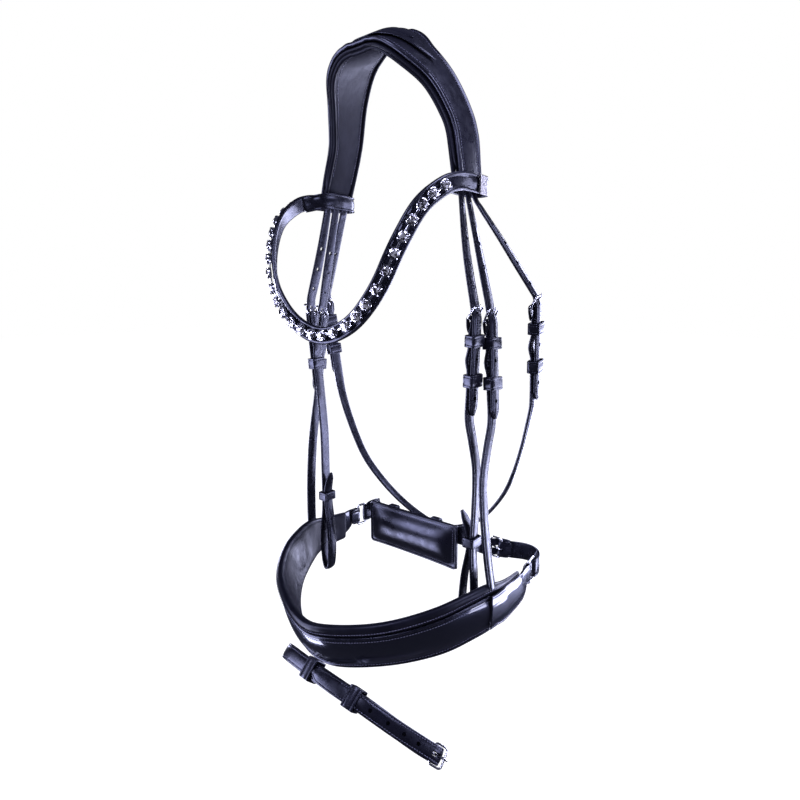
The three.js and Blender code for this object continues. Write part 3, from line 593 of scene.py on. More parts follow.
def circle(centre, axis, lean, radius, sides):
    """A ring of points round an axis, which the direction lean must not follow."""
    side = unit(np.cross(axis, lean))
    other = np.cross(axis, side)
    turns = [2 * math.pi * k / sides for k in range(sides)]
    return [centre + (side * math.cos(a) + other * math.sin(a)) * radius for a in turns]


def round_cutter(centre, axis, radius, sides=16):
    rows = []
    for end in (-HOLE_DEPTH, HOLE_DEPTH):
        rows += circle(centre + axis * end, axis, [0.31, 0.52, 0.79], radius, sides)
    return rows, grid_faces(2, sides, False)


def box_cutter(origin, axes, lows, highs):
    corners = []
    for x in (lows[0], highs[0]):
        for y, z in ((lows[1], lows[2]), (highs[1], lows[2]), (highs[1], highs[2]),
                     (lows[1], highs[2])):
            corners.append(origin + axes[0] * x + axes[1] * y + axes[2] * z)
    return corners, grid_faces(2, 4, False)


def hole_cutters(node, path):
    """Cutters for the round holes punched in a strap's CAD solid."""
    solid = Solid(node)
    found = []
    cutters = []
    for group in solid.sharp_sets()[1:]:
        points = solid.points[sorted(group)]
        middle = points.mean(axis=0)
        away = np.linalg.norm(points - middle, axis=1)
        if away.max() > HOLE_RADII[1] or away.min() < HOLE_RADII[0]:
            continue
        if any(np.linalg.norm(middle - m) < HOLE_GAP for m in found):
            continue
        found.append(middle)
        k = np.argmin(np.linalg.norm(path.centre - middle, axis=1))
        cutters.append(round_cutter(middle, path.face[k], away.mean()))
    return cutters


# ======== stitching ========
THREAD = defaultdict(lambda: ([], []))


def stitch(body, start, stop, sides=6):
    """One thread stitch, kept with the others on its body."""
    verts, faces = THREAD[body]
    base = len(verts)
    for t, r in ((0, 0.35), (0.18, 1), (0.82, 1), (1, 0.35)):
        verts += circle(start + (stop - start) * t, unit(stop - start), [0.2, 0.3, 0.93],
                        STITCH_RADIUS * r, sides)
    faces += [tuple(base + i for i in f) for f in grid_faces(4, sides, False)]


def stitch_line(body, points):
    """A row of stitches along a line of points."""
    travelled = lengths_of(points)
    for k in range(int(travelled[-1] / STITCH_PITCH)):
        ends = []
        for d in (0, STITCH_LENGTH):
            s = (k + 0.15) * STITCH_PITCH + d
            ends.append(np.array([np.interp(s, travelled, c) for c in points.T]))
        stitch(body, ends[0], ends[1])


def stitch_edges(body, path, inset, start, stop, sink=0.35 * MM):
    """Stitches along both edges of a strap's face, between two distances, sunk into it a little."""
    count = max(2, int((stop - start) / STATION))
    for side in (1, -1):
        line = []
        for k in range(count + 1):
            s = start + (stop - start) * k / count
            _, _, _, w, t = path.at(s)
            line.append(path.at(s, side * (w - inset), t - sink)[0])
        stitch_line(body, np.array(line))


def thread_pieces():
    for body in sorted(THREAD):
        verts, faces = THREAD[body]
        piece = new_object(f"{body}_stitching", verts, faces, MAT["thread"], 60)
        finish_piece(piece, body, "bridle_leather")


# ======== materials ========
class Nodes:
    """Short calls for building one material's nodes."""

    def __init__(self, name):
        self.material = bpy.data.materials.new(name)
        self.material.use_nodes = True
        self.tree = self.material.node_tree
        self.shader = self.tree.nodes["Principled BSDF"]

    def feed(self, socket, value):
        """Links another node's output to a socket, or sets the socket's own value."""
        if hasattr(value, "links"):
            self.tree.links.new(value, socket)
        else:
            socket.default_value = value

    def fill(self, node, inputs):
        for key, value in inputs.items():
            socket = node.inputs.get(key.replace("_", " "))
            if socket is None:
                setattr(node, key, value)
            else:
                self.feed(socket, value)

    def add(self, kind, **inputs):
        node = self.tree.nodes.new(kind)
        self.fill(node, inputs)
        return node

    def set(self, **inputs):
        self.fill(self.shader, inputs)

    def place(self):
        return self.add("ShaderNodeTexCoord").outputs["Object"]

    def noise(self, scale, detail=3.0, roughness=0.55):
        node = self.add("ShaderNodeTexNoise", Scale=scale, Detail=detail, Roughness=roughness,
                        Vector=self.place())
        return node.outputs["Fac"]

    def cells(self, scale, feature="DISTANCE_TO_EDGE"):
        node = self.add("ShaderNodeTexVoronoi", feature=feature, Scale=scale,
                        Vector=self.place())
        return node.outputs["Distance"]

    def between(self, value, low, high, out_low, out_high):
        node = self.add("ShaderNodeMapRange", clamp=True)
        for socket, v in zip(node.inputs, (value, low, high, out_low, out_high)):
            self.feed(socket, v)
        return node.outputs[0]

    def mixed(self, factor, a, b):
        node = self.add("ShaderNodeMix", data_type="RGBA")
        for k, v in ((0, factor), (6, a), (7, b)):
            self.feed(node.inputs[k], v)
        return node.outputs[2]

    def bump(self, height, distance, strength, under=None):
        node = self.add("ShaderNodeBump", Height=height, Distance=distance, Strength=strength)
        if under is not None:
            self.feed(node.inputs["Normal"], under)
        return node.outputs["Normal"]

    def edge(self, low, high):
        """Mask of sharp outward edges, which the leather lightens as a painted highlight."""
        value = self.add("ShaderNodeNewGeometry").outputs["Pointiness"]
        return self.between(value, low, high, 0.0, 1.0)


def rgb(r, g, b):
    return (r, g, b, 1.0)


GLOSS_TINT = rgb(*COOL)


def leather(name, base, shine, grain, creases, gloss=0.55, fold=0.14):
    """Dyed leather: fine grain, soft creases, uneven polish and a painted highlight that makes
    sharp edges paler.
    """
    n = Nodes(name)
    patchy = n.noise(55.0, 4.0)
    tone = n.mixed(n.between(patchy, 0.35, 0.7, 0.0, 1.0), rgb(*base),
                   rgb(*[c * 1.7 for c in base]))
    # painted highlight: sharp convex edges are lightened to a pale cool tint, standing in for light
    # caught along the cut edges
    painted_edge_highlight = n.mixed(n.edge(0.56, 0.72), tone, rgb(0.03, 0.03, 0.055))
    rough = n.between(n.noise(140.0, 5.0), 0.3, 0.75, shine - 0.06, shine + 0.12)
    pores = n.bump(n.cells(grain), 0.00004, 0.1)
    fine = n.bump(n.noise(grain * 2.2, 3.0), 0.00002, 0.12, pores)
    folds = n.bump(n.noise(creases, 4.0, 0.5), 0.0006, fold, fine)
    n.set(Base_Color=painted_edge_highlight, Roughness=rough, Normal=folds, Specular_Tint=GLOSS_TINT)
    n.set(Specular_IOR_Level=gloss)
    return n.material


def patent(name):
    """Patent leather: a deep clear coat over a slightly uneven black sheet."""
    n = Nodes(name)
    wave = n.bump(n.noise(26.0, 2.0, 0.4), 0.0011, 0.22)
    n.set(Base_Color=rgb(0.004, 0.004, 0.007), Roughness=0.3, Coat_Weight=1.0, Coat_IOR=1.6)
    n.set(Coat_Roughness=n.between(n.noise(90.0), 0.3, 0.7, 0.02, 0.06), Coat_Normal=wave)
    n.set(Coat_Tint=rgb(0.9, 0.92, 1.0), Normal=wave, Specular_Tint=GLOSS_TINT)
    return n.material


def polished_steel(name):
    n = Nodes(name)
    haze = n.noise(300.0, 4.0)
    n.set(Base_Color=n.mixed(haze, rgb(0.62, 0.62, 0.66), rgb(0.82, 0.82, 0.86)), Metallic=1.0)
    n.set(Roughness=n.between(haze, 0.3, 0.8, 0.1, 0.26))
    n.set(Normal=n.bump(n.noise(900.0, 2.0), 0.00002, 0.3))
    return n.material


def stippled_metal(name):
    """Brushed nickel with an all-over stipple, darker in the hollows."""
    n = Nodes(name)
    dots = n.cells(620.0, "SMOOTH_F1")
    shade = n.between(dots, 0.15, 0.7, 0.0, 1.0)
    n.set(Base_Color=n.mixed(shade, rgb(0.28, 0.27, 0.28), rgb(0.14, 0.13, 0.14)), Metallic=1.0)
    n.set(Roughness=n.between(n.noise(240.0), 0.3, 0.7, 0.22, 0.42))
    n.set(Normal=n.bump(dots, 0.0005, 0.8))
    return n.material


def crystal_stone(name):
    """Smoky cut glass, where neighbouring facets send back quite different amounts of light."""
    n = Nodes(name)
    facets = n.add("ShaderNodeTexVoronoi", feature="F1", Scale=620.0, Vector=n.place())
    tone = n.add("ShaderNodeSeparateColor", Color=facets.outputs["Color"]).outputs[0]
    glint = n.between(tone, 0.35, 0.75, 0.0, 1.0)
    n.set(Base_Color=n.mixed(glint, rgb(0.05, 0.045, 0.06), rgb(0.85, 0.84, 0.92)))
    n.set(Roughness=0.04, Metallic=0.75, IOR=1.65, Coat_Weight=1.0, Coat_Roughness=0.02)
    n.set(Normal=n.bump(n.noise(500.0), 0.0006, 0.5))
    return n.material


def waxed_thread(name):
    n = Nodes(name)
    twist = n.noise(2600.0, 2.0)
    n.set(Base_Color=n.mixed(twist, rgb(0.06, 0.06, 0.1), rgb(0.2, 0.2, 0.31)))
    n.set(Roughness=0.45, Normal=n.bump(twist, 0.0001, 0.7), Specular_Tint=GLOSS_TINT)
    return n.material


def floor_paint(name):
    """White paper that stays even: mostly its own glow, with a faint share of the studio light."""
    n = Nodes(name)
    n.set(Base_Color=n.mixed(n.noise(3.0), rgb(0.16, 0.16, 0.16), rgb(0.18, 0.18, 0.18)))
    n.set(Roughness=0.95, Emission_Color=rgb(1, 1, 1), Emission_Strength=1.0)
    n.set(Specular_IOR_Level=0.0)
    return n.material


MAT = {
    "strap": leather("strap_leather", (0.004, 0.004, 0.008), 0.27, 1500.0, 130.0),
    "crown": leather("crown_leather", (0.005, 0.005, 0.010), 0.3, 1300.0, 90.0),
    "lining": leather("lining_leather", (0.004, 0.004, 0.008), 0.42, 800.0, 70.0, 0.13, 0.6),
    "padding": leather("padding_leather", (0.004, 0.004, 0.008), 0.34, 800.0, 70.0, 0.22, 0.35),
    "pad": leather("pad_leather", (0.004, 0.004, 0.008), 0.3, 1300.0, 80.0),
    "patent": patent("patent_leather_coat"),
    "steel": polished_steel("polished_steel"),
    "clincher": stippled_metal("stippled_nickel"),
    "setting": polished_steel("stone_setting"),
    "stone": crystal_stone("smoky_crystal"),
    "thread": waxed_thread("waxed_thread"),
    "floor": floor_paint("studio_floor"),
}


# ======== straps ========
def buckle_frame(tongue_joint, buckle_node):
    """Bar centre, strap direction, outward direction and across of one buckle."""
    joint = JOINTS[tongue_joint]
    bar = np.array(joint["pos_m"])
    across = unit(np.array(joint["axis"]))
    middle = Solid(buckle_node).points.mean(axis=0) - bar
    lean = unit(middle - across * (middle @ across))
    rise = math.atan(BUCKLE_LEAN)
    out = unit(np.cross(across, lean))
    along = unit(lean * math.cos(rise) - out * math.sin(rise))
    return bar, along, unit(np.cross(across, along)), across


BUCKLE_KEYS = [f"{side}_{kind}" for side in SIDES for kind in STRAP_KINDS] + ["crank", "flash"]
BUCKLES = {key: (f"{key}_tongue_turn", f"{key}_buckle") for key in BUCKLE_KEYS}


def slot_cutter(key, low, high):
    """The slot for a buckle's tongue, between two distances up the strap from the bar."""
    bar, along, out, across = buckle_frame(*BUCKLES[key])
    return box_cutter(bar + out * BAR_DEPTH, (along, out, across),
                      (low, -SLOT_DEPTH, -SLOT_HALF), (high, SLOT_DEPTH, SLOT_HALF))


def strap_piece(node, hub=beside, section=strap_section, material="strap", slots=(), grow=0.0):
    """Replaces a CAD strap. grow carries its lower end on, over or behind another piece."""
    path = Path.from_rings(strap_rings(node), hub).refined()
    if grow:
        path.extend(grow)
    piece = sweep(f"{node}_finish", path, section, MAT[material])
    cut(piece, hole_cutters(node, path) + [slot_cutter(*s) for s in slots])
    slot = "patent_leather" if material == "patent" else "bridle_leather"
    finish_piece(piece, BODY[node], slot, node)
    return path


def side_straps():
    for side in SIDES:
        for kind in STRAP_KINDS:
            key = f"{side}_{kind}"
            strap_piece(f"{key}_billet", slots=[(key, *BILLET_SLOT)])
        for kind, node, grow in (("cheek", "cheekpiece", 0.0),
                                 ("noseband", "noseband_hanger", HANGER_TUCK)):
            name = f"{side}_{node}"
            seam(name, strap_piece(name, slots=[(f"{side}_{kind}", *FOLD_SLOT)], grow=grow))
    seam("throatlatch", strap_piece("throatlatch", slots=[("left_throat", *FOLD_SLOT),
                                                          ("right_throat", *FOLD_SLOT)]))


def seam(node, path):
    """Stitching that holds a strap's turned end, beside the buckle, on both edges."""
    total = path.total()
    stitch_edges(BODY[node], path, CREASE_INSET, *SEAM)
    if node == "throatlatch":
        stitch_edges(BODY[node], path, CREASE_INSET, total - SEAM[1], total - SEAM[0])


def keepers():
    """Keepers, runners and the flash loop are closed hoops of leather."""
    for node in sorted(NODES):
        if node.endswith(("_keeper", "_runner", "flash_loop")):
            rings = hoop_rings(node)
            middle = rings.reshape(-1, 3).mean(axis=0)
            path = Path.from_rings(rings, lambda c: np.zeros_like(c) + middle)
            piece = sweep(f"{node}_finish", path.refined(1.1 * MM, closed=True), keeper_section,
                          MAT["strap"], closed=True)
            finish_piece(piece, BODY[node], "bridle_leather", node)


# ======== metal ========
def hoop_piece(name, bar, along, across, half_width, length, radius, body, node):
    """A rounded rectangle of wire, which starts at its bar and runs a length along."""
    half = length / 2
    centre = np.array([bar + along * (u + half) + across * v
                       for u, v in rounded_rectangle(half, half_width, WIRE_CORNER, 5)])
    out = np.tile(np.cross(along, across), (len(centre), 1))
    ahead = unit(np.roll(centre, -1, axis=0) - np.roll(centre, 1, axis=0))
    path = Path(np.hstack([centre, unit(np.cross(ahead, out)), out,
                           np.full((len(centre), 2), radius)]))
    piece = sweep(name, path, wire_section, MAT["steel"], closed=True, smooth=80)
    return finish_piece(piece, body, "buckle_steel", node)


def buckles():
    for key in sorted(BUCKLES):
        joint, node = BUCKLES[key]
        bar, _, _, across = buckle_frame(joint, node)
        points = Solid(node).points - bar
        lean = points.mean(axis=0)
        lean = unit(lean - across * (lean @ across))
        reach_along = points @ lean
        reach_across = points @ across
        wire = -reach_along.min()
        half_width = (reach_across.max() - reach_across.min()) / 2 - wire
        length = reach_along.max() - wire
        hoop_piece(f"{node}_finish", bar, lean, across, half_width, length, wire * 1.04,
                   BODY[node], node)
        tongue = f"{node}_tongue"
        path = Path.from_rings(strap_rings(tongue), beside).refined(0.7 * MM)
        piece = sweep(f"{tongue}_finish", path, wire_section, MAT["steel"], smooth=80)
        finish_piece(piece, BODY[tongue], "buckle_steel", tongue)


def crank_rings():
    for side in SIDES:
        node = f"{side}_crank_ring"
        points = Solid(node).points
        middle = points.mean(axis=0)
        axes = np.linalg.svd(points - middle, full_matrices=False)[2]
        across, along = axes[0], axes[1]
        half = np.abs((points - middle) @ along).max() - RING_WIRE
        half_width = np.abs((points - middle) @ across).max() - RING_WIRE
        hoop_piece(f"{node}_finish", middle - along * half, along, across, half_width, 2 * half,
                   RING_WIRE, BODY[node], node)


def clinchers():
    """The caps keep their CAD shape, with softened edges."""
    for side in SIDES:
        cap = NODES[f"{side}_browband_clincher"]
        weld = cap.modifiers.new("weld", "WELD")
        weld.merge_threshold = WELD
        bevel = cap.modifiers.new("soft_edges", "BEVEL")
        bevel.width = 0.45 * MM
        bevel.segments = 3
        bevel.limit_method = "ANGLE"
        cap.data.materials.clear()
        cap.data.materials.append(MAT["clincher"])


# ======== crystals ========
def stone_frames():
    """Top centre, outward, along and across of each setting, from the CAD chain's flat tops."""
    solid = Solid("crystal_chain")
    found = []
    for ring, _ in solid.outlines():
        p = solid.points[ring]
        sides = [np.linalg.norm(p[(k + 1) % len(p)] - p[k]) for k in range(len(p))]
        table = (SETTING_TABLE[0] - min(sides), SETTING_TABLE[1] - max(sides))
        if len(ring) != 4 or max(abs(t) for t in table) > 0.15 * MM:
            continue
        k = int(np.argmax(sides))
        along = unit(p[(k + 1) % 4] - p[k])
        if along[0] < 0:
            along = -along
        middle = p.mean(axis=0)
        out = unit(np.cross(p[1] - p[0], p[2] - p[1]))
        if out @ (middle - np.array([0, 0.02, -0.15])) < 0:
            out = -out
        found.append((middle, out, along, np.cross(out, along)))
    found.sort(key=lambda f: f[0][0])
    return found


class Builder:
    """Collects many small closed shapes into one mesh."""

    def __init__(self):
        self.verts = []
        self.faces = []

    def loft(self, rows):
        base = len(self.verts)
        faces = grid_faces(len(rows), len(rows[0]), False)
        for row in rows:
            self.verts += [np.array(p) for p in row]
        self.faces += [tuple(base + i for i in f) for f in faces]

    def piece(self, name, material, smooth):
        return new_object(name, self.verts, self.faces, material, smooth)


def ring_at(frame_at, radius, height, sides, turn=0.0):
    """A regular ring of points round a stone."""
    angles = [2 * math.pi * (k + turn) / sides for k in range(sides)]
    return [frame_at(radius * math.cos(a) * 1.06, radius * math.sin(a), height) for a in angles]


def round_stone(metal, glass, at):
    """One brilliant-cut stone in a collet with four claws. Sizes in mm."""
    collet = [(3.7, 0.0), (4.1, 0.4), (3.7, 1.4), (4.3, 2.6), (4.45, 3.0), (4.1, 3.1), (3.5, 2.2)]
    metal.loft([ring_at(at, r * MM, h * MM, 16) for r, h in collet])
    gem = [(3.4, 2.3, 0), (4.05, 3.1, 0), (4.05, 3.35, 0), (3.1, 4.3, 0.5), (2.0, 4.95, 0),
           (1.6, 5.0, 0)]
    glass.loft([ring_at(at, r * MM, h * MM, 8, turn) for r, h, turn in gem])
    for k in range(4):
        a = math.pi / 4 + k * math.pi / 2
        rows = []
        for reach_out, h, r in ((4.3, 0.5, 0.7), (4.5, 2.6, 0.72), (4.35, 3.6, 0.68),
                                (3.75, 4.3, 0.58), (3.2, 4.5, 0.25)):
            rows.append([at((reach_out * math.cos(a) + r * math.cos(t)) * MM,
                            (reach_out * math.sin(a) + r * math.sin(t)) * MM, h * MM)
                         for t in np.linspace(0, 2 * math.pi, 7)[:-1]])
        metal.loft(rows)


def crystals():
    metal = Builder()
    glass = Builder()
    frames = stone_frames()
    for middle, out, along, across in frames:
        def at(a, b, h):
            return middle + along * a + across * b + out * (h - SETTING_HEIGHT)
        round_stone(metal, glass, at)
    for one, two in zip(frames, frames[1:]):
        bar_ring = []
        for middle, out, along, across in (one, two):
            base = middle - out * (SETTING_HEIGHT - 1.3 * MM)
            bar_ring.append([base + across * b * MM + out * h * MM
                             for b, h in ((-0.9, -0.6), (0.9, -0.6), (0.9, 0.1), (0.5, 0.4),
                                          (-0.5, 0.4), (-0.9, 0.1))])
        metal.loft(bar_ring)
    chain_metal = metal.piece("crystal_settings", MAT["setting"], 35)
    finish_piece(chain_metal, BODY["crystal_chain"], "buckle_steel", "crystal_chain")
    chain_glass = glass.piece("crystal_stones", MAT["stone"], 5)
    finish_piece(chain_glass, BODY["crystal_chain"], "crystal")


# ======== headpiece, browband ========
def piped_section(w, t):
    """Outer leather with a rolled, piped edge along each side."""
    bead = min(1.75 * MM, t)
    half = [(w * 0.5, -t), (w - 2 * bead, -t)]
    half += arc(w - bead, -t + bead, bead, -90, 0) + arc(w - bead, t - bead, bead, 0, 150, 4)
    half += [(w - 2.3 * bead, t - 0.95 * MM), (w - 3.4 * bead, t - 0.75 * MM),
             (w * 0.4, t - 0.3 * MM)]
    return mirrored(half, t - 0.2 * MM)


def cage(name, rings, material, body, slot, nodes=(), tip=0.0, tip_size=0.9):
    """A smooth skin over the rings of a CAD loft. A tip carries each end on past the CAD."""
    count = rings.shape[1]
    ends = []
    for end, inner in ((0, 1), (-1, -2)):
        middle = rings[end].mean(axis=0)
        away = unit(middle - rings[inner].mean(axis=0))
        ends.append(middle + (rings[end] - middle) * tip_size + away * tip)
    rows = np.concatenate([ends[0][None], rings, ends[1][None]])
    piece = new_object(name, rows.reshape(-1, 3), grid_faces(len(rows), count, False), material, 60)
    subdivide(piece)
    return finish_piece(piece, body, slot, *nodes)


def ring_frames(rings, hint, hub):
    """Local axes of each ring: centre, along, across (near hint) and outward face."""
    centre = rings.mean(axis=1)
    along = unit(np.gradient(centre, axis=0))
    across = []
    for ring, c, d in zip(rings, centre, along):
        axes = np.linalg.svd(ring - c, full_matrices=False)[2]
        a = axes[0] - d * (axes[0] @ d)
        across.append(unit(a if a @ hint > 0 else -a))
    across = np.array(across)
    face = unit(np.cross(along, across))
    turn = np.sign((face * (centre - hub(centre))).sum(axis=1))
    return centre, along, across, face * turn[:, None]


def surface_line(rings, frames, share, lift, inset=0.0):
    """A line on the outer side of a loft, at a share of its width and an inset further."""
    centre, _, across, face = frames
    line = []
    for ring, c, a, f in zip(rings, centre, across, face):
        u = (ring - c) @ a
        v = (ring - c) @ f
        at = u.min() + (u.max() - u.min()) * share + inset
        best = -1.0
        for k in range(len(ring)):
            j = (k + 1) % len(ring)
            if (u[k] - at) * (u[j] - at) <= 0 and abs(u[j] - u[k]) > 1e-9:
                best = max(best, v[k] + (v[j] - v[k]) * (at - u[k]) / (u[j] - u[k]))
        line.append(c + a * at + f * (best + lift))
    line = np.array(line)
    return spline(line, steps_for(line, STATION))


def carried_on(line, distance):
    """A line with both its ends carried straight on."""
    first = line[0] + unit(line[0] - line[3]) * distance
    last = line[-1] + unit(line[-1] - line[-4]) * distance
    return np.vstack([first, line, last])


def cord(name, line, radius, material, body, slot):
    """A round cord along a line."""
    along = unit(np.gradient(line, axis=0))
    side = unit(np.cross(along, [0.05, 0.1, 1.0]))
    values = np.hstack([line, side, unit(np.cross(side, along)),
                        np.full((len(line), 2), radius)])
    piece = sweep(name, Path(values), lambda w, t: wire_section(w, t, 10), MAT[material], smooth=80)
    return finish_piece(piece, body, slot)


def headpiece():
    path = strap_piece("headpiece_leather", hub=below, section=piped_section, material="crown")
    stitch_edges("headpiece", path, 5.6 * MM, 6 * MM, path.total() - 6 * MM, sink=0.6 * MM)


def headpiece_lining():
    """The padding under the crown, with a roll and a row of stitches along each edge."""
    rings = loft_rings("headpiece_lining", 10)
    cage("headpiece_lining_finish", rings, MAT["lining"], "headpiece", "padding_leather",
         ["headpiece_lining"], tip=LINING_TIP, tip_size=0.85)
    centre, along, across, face = ring_frames(rings, np.array([0, 1, 0]), below)
    inside = (centre, along, across, -face)
    for name, share in (("front", 0.05), ("rear", 0.95)):
        line = carried_on(surface_line(rings, inside, share, 0.2 * MM), ROLL_TIP)
        cord(f"lining_{name}_roll", line, LINING_ROLL, "lining", "headpiece", "padding_leather")
    for share in (0.15, 0.85):
        stitch_line("headpiece", surface_line(rings, inside, share, 0.1 * MM))


def poll_tongue():
    """The pointed tongue over the poll, with a smaller leather of its shape laid on it."""
    rings = loft_rings("poll_tongue", 7)
    cage("poll_tongue_finish", rings, MAT["crown"], "headpiece", "bridle_leather",
         ["poll_tongue"], tip=7 * MM, tip_size=0.12)
    centre, _, across, face = ring_frames(rings, np.array([0, 1, 0]), below)
    inlay = rings + 0.9 * MM * face[:, None]
    spreads = np.einsum("ijk,ik->ij", rings - centre[:, None], across)
    inlay = inlay - 0.52 * spreads[:, :, None] * across[:, None]
    cage("poll_inlay", inlay[3:-3], MAT["crown"], "headpiece", "bridle_leather",
         tip=6 * MM, tip_size=0.12)


def browband():
    strap_piece("browband", hub=below, section=piped_section)


# ======== noseband ========
def noseband():
    up = np.array([0, 0, 1.0])
    padding = loft_rings("noseband_padding", 13)
    cage("noseband_padding_finish", padding, MAT["padding"], "noseband", "padding_leather",
         ["noseband_padding"])
    shell = loft_rings("noseband_shell", 8)
    cage("noseband_shell_finish", shell, MAT["patent"], "noseband", "patent_leather",
         ["noseband_shell"])
    frames = ring_frames(shell, up, beside)
    for name, share, inset in (("top", 1, -0.9 * MM), ("low", 0, 0.9 * MM)):
        line = surface_line(shell, frames, share, 0.2 * MM, inset)
        cord(f"noseband_{name}_piping", line, NOSEBAND_PIPING, "strap", "noseband",
             "bridle_leather")
    for share, inset in ((1, -3.6 * MM), (0, 4.2 * MM)):
        stitch_line("noseband", surface_line(shell, frames, share, 0.25 * MM, inset))
    frames = ring_frames(padding, up, beside)
    stitch_line("noseband", surface_line(padding, frames, 0.89, 0.1 * MM))
    for side in SIDES:
        path = strap_piece(f"{side}_noseband_tab", material="patent", grow=TAB_TUCK)
        stitch_edges("noseband", path, 2.4 * MM, 3 * MM, path.total() - 3 * MM)


def crank():
    path = strap_piece("crank_chape", slots=[("crank", *FOLD_SLOT)])
    stitch_edges("noseband", path, CREASE_INSET, PLAIN_END, path.total() - PLAIN_END)
    path = strap_piece("crank_strap", slots=[("crank", *BILLET_SLOT)])
    stitch_edges("noseband", path, CREASE_INSET, PLAIN_END, path.total() - 60 * MM)


def flash():
    path = strap_piece("flash_strap", slots=[("flash", *FOLD_SLOT)])
    stitch_edges("flash", path, CREASE_INSET, PLAIN_END, path.total() - 30 * MM)


def chin_pad():
    """The cushion is sewn flat inside its CAD box, then blown up as cloth, held at its seam."""
    points = Solid("chin_pad").points
    low = points.min(axis=0)
    high = points.max(axis=0)
    middle = (low[0] + high[0]) / 2
    loop_back = high[1]
    ends = np.abs(points[:, 0] - middle) > 0.4 * (high[0] - low[0])
    high[1] = points[ends][:, 1].max()
    piece, held = pad_bag(low, high)
    start = np.array([v.co for v in piece.data.vertices])
    group = piece.vertex_groups.new(name="seam")
    group.add(held, 1.0, "REPLACE")
    blown = inflate(piece, start)
    blown[:, 1] = np.maximum(blown[:, 1], low[1] - 1.5 * MM)
    for v, p in zip(piece.data.vertices, blown):
        v.co = p
    relax = piece.modifiers.new("relax", "SMOOTH")
    relax.factor = 0.5
    relax.iterations = 8
    relax.vertex_group = "seam"
    relax.invert_vertex_group = True
    subdivide(piece)
    finish_piece(piece, "chin_pad", "padding_leather", "chin_pad")
    behind = points[points[:, 1] > high[1] + 0.3 * MM]
    for side in (-1, 1):
        loop = behind[(behind[:, 0] - middle) * side > 0]
        pad_loop(loop.min(axis=0), loop.max(axis=0), high[1], loop_back)
    pad_piping(low, high)


def pad_loop(low, high, front, back):
    """A leather loop on the cushion's back, open at its sides for the crank strap."""
    wall = PAD_LOOP_WALL / 2
    corner = PAD_LOOP_WALL
    out = back - wall
    top = high[2] - wall
    bottom = low[2] + wall
    start = front - 1 * MM
    line = [(start, top)] + arc(out - corner, top - corner, corner, 90, 0)
    line += arc(out - corner, bottom + corner, corner, 0, -90) + [(start, bottom)]
    middle = (low[0] + high[0]) / 2
    line = np.array([(middle, y, z) for y, z in line])
    across = np.tile([1.0, 0.0, 0.0], (len(line), 1))
    face = unit(np.cross(across, np.gradient(line, axis=0)))
    size = np.tile([(high[0] - low[0]) / 2, wall], (len(line), 1))
    path = Path(np.hstack([line, across, face, size]))
    piece = sweep("chin_pad_loop", path, keeper_section, MAT["strap"])
    finish_piece(piece, "chin_pad", "bridle_leather")


def pad_waist(u):
    """How far the cushion's long edges draw in, from its ends (-1 and 1) to its middle (0)."""
    return 1 - 0.055 * (1 - np.abs(u) ** 2.5)


def pad_bag(low, high):
    """A flat-backed bag with a thin border and a raised middle, and the points of its seam."""
    across = 33
    down = 15
    middle = (low + high) / 2
    half = (high - low) / 2
    verts = []
    held = []
    for back in (False, True):
        for i in range(across):
            for j in range(down):
                u = 2 * i / (across - 1) - 1
                v = 2 * j / (down - 1) - 1
                inner_u = min(1.0, abs(u) * half[0] / (half[0] - PAD_BORDER))
                inner_v = min(1.0, abs(v) * half[2] / (half[2] - PAD_BORDER))
                rise = (1 - inner_u ** 7) ** 0.7 * (1 - inner_v ** 2.4) ** 0.7
                depth = 0.0 if back else PAD_EDGE + (half[1] * 2 - PAD_EDGE - 2 * MM) * rise
                if back or rise == 0.0:
                    held.append(len(verts))
                verts.append((middle[0] + u * half[0], high[1] - depth,
                              middle[2] + v * half[2] * pad_waist(u)))
    faces = []
    layer = across * down
    for i in range(across - 1):
        for j in range(down - 1):
            a = i * down + j
            quad = (a, a + 1, a + down + 1, a + down)
            faces.append(quad)
            faces.append(tuple(layer + k for k in reversed(quad)))
    rim = [i * down for i in range(across)]
    rim += [(across - 1) * down + j for j in range(1, down)]
    rim += [i * down + down - 1 for i in range(across - 2, -1, -1)]
    rim += list(range(down - 2, 0, -1))
    for a, b in zip(rim, rim[1:] + rim[:1]):
        faces.append((a, b, b + layer, a + layer))
    return new_object("chin_pad_cushion", verts, faces, MAT["pad"], 180), held


def inflate(piece, start):
    """Points of a piece after a short cloth run with air pressure inside, movement capped."""
    scene = bpy.context.scene
    cloth = piece.modifiers.new("air", "CLOTH")
    cloth.settings.quality = 6
    cloth.settings.mass = 0.25
    cloth.settings.use_pressure = True
    cloth.settings.uniform_pressure_force = 4.0
    cloth.settings.vertex_group_mass = "seam"
    cloth.settings.effector_weights.gravity = 0.0
    cloth.point_cache.frame_start = 1
    cloth.point_cache.frame_end = 20
    for step in range(1, 21):
        scene.frame_set(step)
    graph = bpy.context.evaluated_depsgraph_get()
    moved = np.array([v.co for v in piece.evaluated_get(graph).data.vertices])
    piece.modifiers.clear()
    scene.frame_set(1)
    shift = moved - start
    size = np.linalg.norm(shift, axis=1, keepdims=True)
    return start + shift * np.minimum(1.0, PAD_BULGE / np.maximum(size, 1e-9))


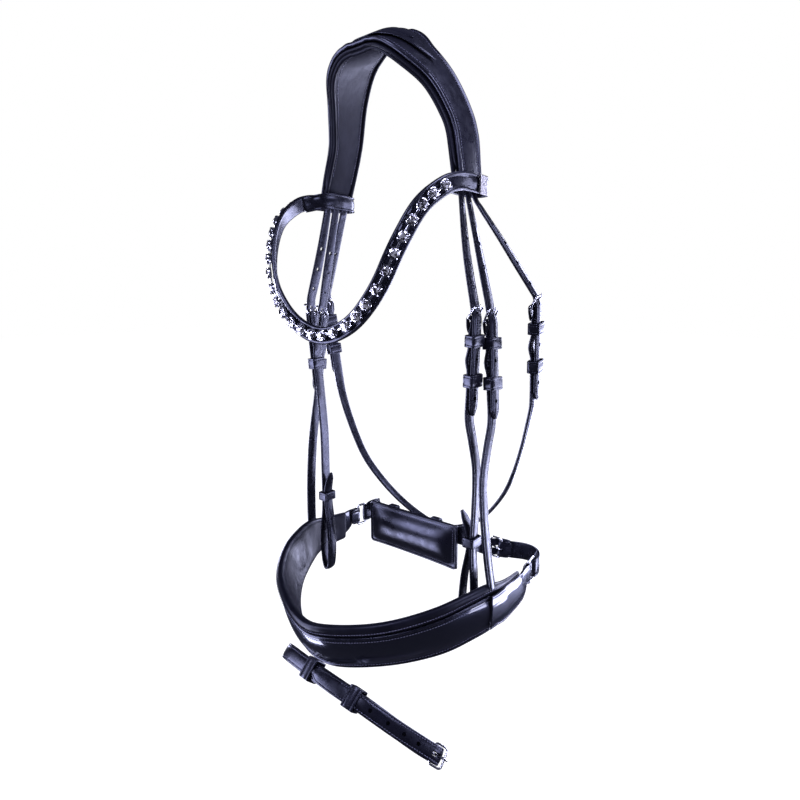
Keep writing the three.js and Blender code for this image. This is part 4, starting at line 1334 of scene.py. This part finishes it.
def pad_piping(low, high):
    """Piping round the front of the cushion's border, and a stitch line inside it."""
    front = high[1] - PAD_EDGE
    middle = (low + high) / 2
    for inset, radius in ((1.1 * MM, PAD_PIPING), (4.3 * MM, 0.0)):
        half_x = (high[0] - low[0]) / 2 - inset
        half_z = (high[2] - low[2]) / 2 - inset
        line = [(middle[0] + u, front, middle[2] + v)
                for u, v in rounded_rectangle(half_x, half_z, PAD_CORNER, 4)]
        line = np.array(line + line[:1])
        gaps = np.diff(lengths_of(line))
        line = spline(line, [max(1, int(g / STATION)) for g in gaps])
        waist = pad_waist(2 * (line[:, 0] - middle[0]) / (high[0] - low[0]))
        line[:, 2] = middle[2] + (line[:, 2] - middle[2]) * waist
        if radius:
            cord("chin_pad_piping", line, radius, "pad", "chin_pad", "padding_leather")
        else:
            stitch_line("chin_pad", line - np.array([0, 1.6 * MM, 0]))


# ======== studio ========
def white_room():
    """White to the camera, and a dim cool glow on everything else."""
    world = bpy.data.worlds.new("studio")
    bpy.context.scene.world = world
    world.use_nodes = True
    tree = world.node_tree
    tree.nodes.clear()
    mix = tree.nodes.new("ShaderNodeMixShader")
    path = tree.nodes.new("ShaderNodeLightPath")
    tree.links.new(path.outputs["Is Camera Ray"], mix.inputs[0])
    for k, tint, strength in ((1, ROOM_TINT, ROOM_GLOW), (2, (1, 1, 1), 1.0)):
        back = tree.nodes.new("ShaderNodeBackground")
        back.inputs["Color"].default_value = rgb(*tint)
        back.inputs["Strength"].default_value = strength
        tree.links.new(back.outputs[0], mix.inputs[k])
    output = tree.nodes.new("ShaderNodeOutputWorld")
    tree.links.new(mix.outputs[0], output.inputs[0])


def studio_floor():
    size = FLOOR_SIZE
    height = min(CAD_BOX[0][2], CAD_BOX[1][2]) - FLOOR_DROP
    corners = [(-size, -size, height), (size, -size, height), (size, size, height),
               (-size, size, height)]
    floor = new_object("studio_floor", corners, [(0, 1, 2, 3)], MAT["floor"])
    floor.visible_glossy = False


def aim(name, data, place, target):
    """Puts a lamp or a camera at a place, turned to a target."""
    thing = bpy.data.objects.new(name, data)
    thing.location = place
    thing.rotation_euler = (target - Vector(place)).to_track_quat("-Z", "Y").to_euler()
    bpy.context.scene.collection.objects.link(thing)
    return thing


def lamps():
    for name, (place, width, height, power) in LAMPS.items():
        data = bpy.data.lights.new(name, "AREA")
        data.shape = "RECTANGLE"
        data.size = width
        data.size_y = height
        data.energy = power
        data.color = COOL
        aim(name, data, place, LAMPS_FACE).visible_camera = False


def camera():
    data = bpy.data.cameras.new("camera")
    data.lens = LENS
    data.sensor_width = 36
    data.clip_start = 0.01
    bpy.context.scene.camera = aim("camera", data, EYE, LOOK_AT)


headpiece()
headpiece_lining()
poll_tongue()
browband()
clinchers()
crystals()
side_straps()
keepers()
buckles()
crank_rings()
noseband()
crank()
chin_pad()
flash()
thread_pieces()
bpy.context.scene.view_settings.view_transform = "Standard"
white_room()
studio_floor()
lamps()
camera()

bpy.context.view_layer.update()
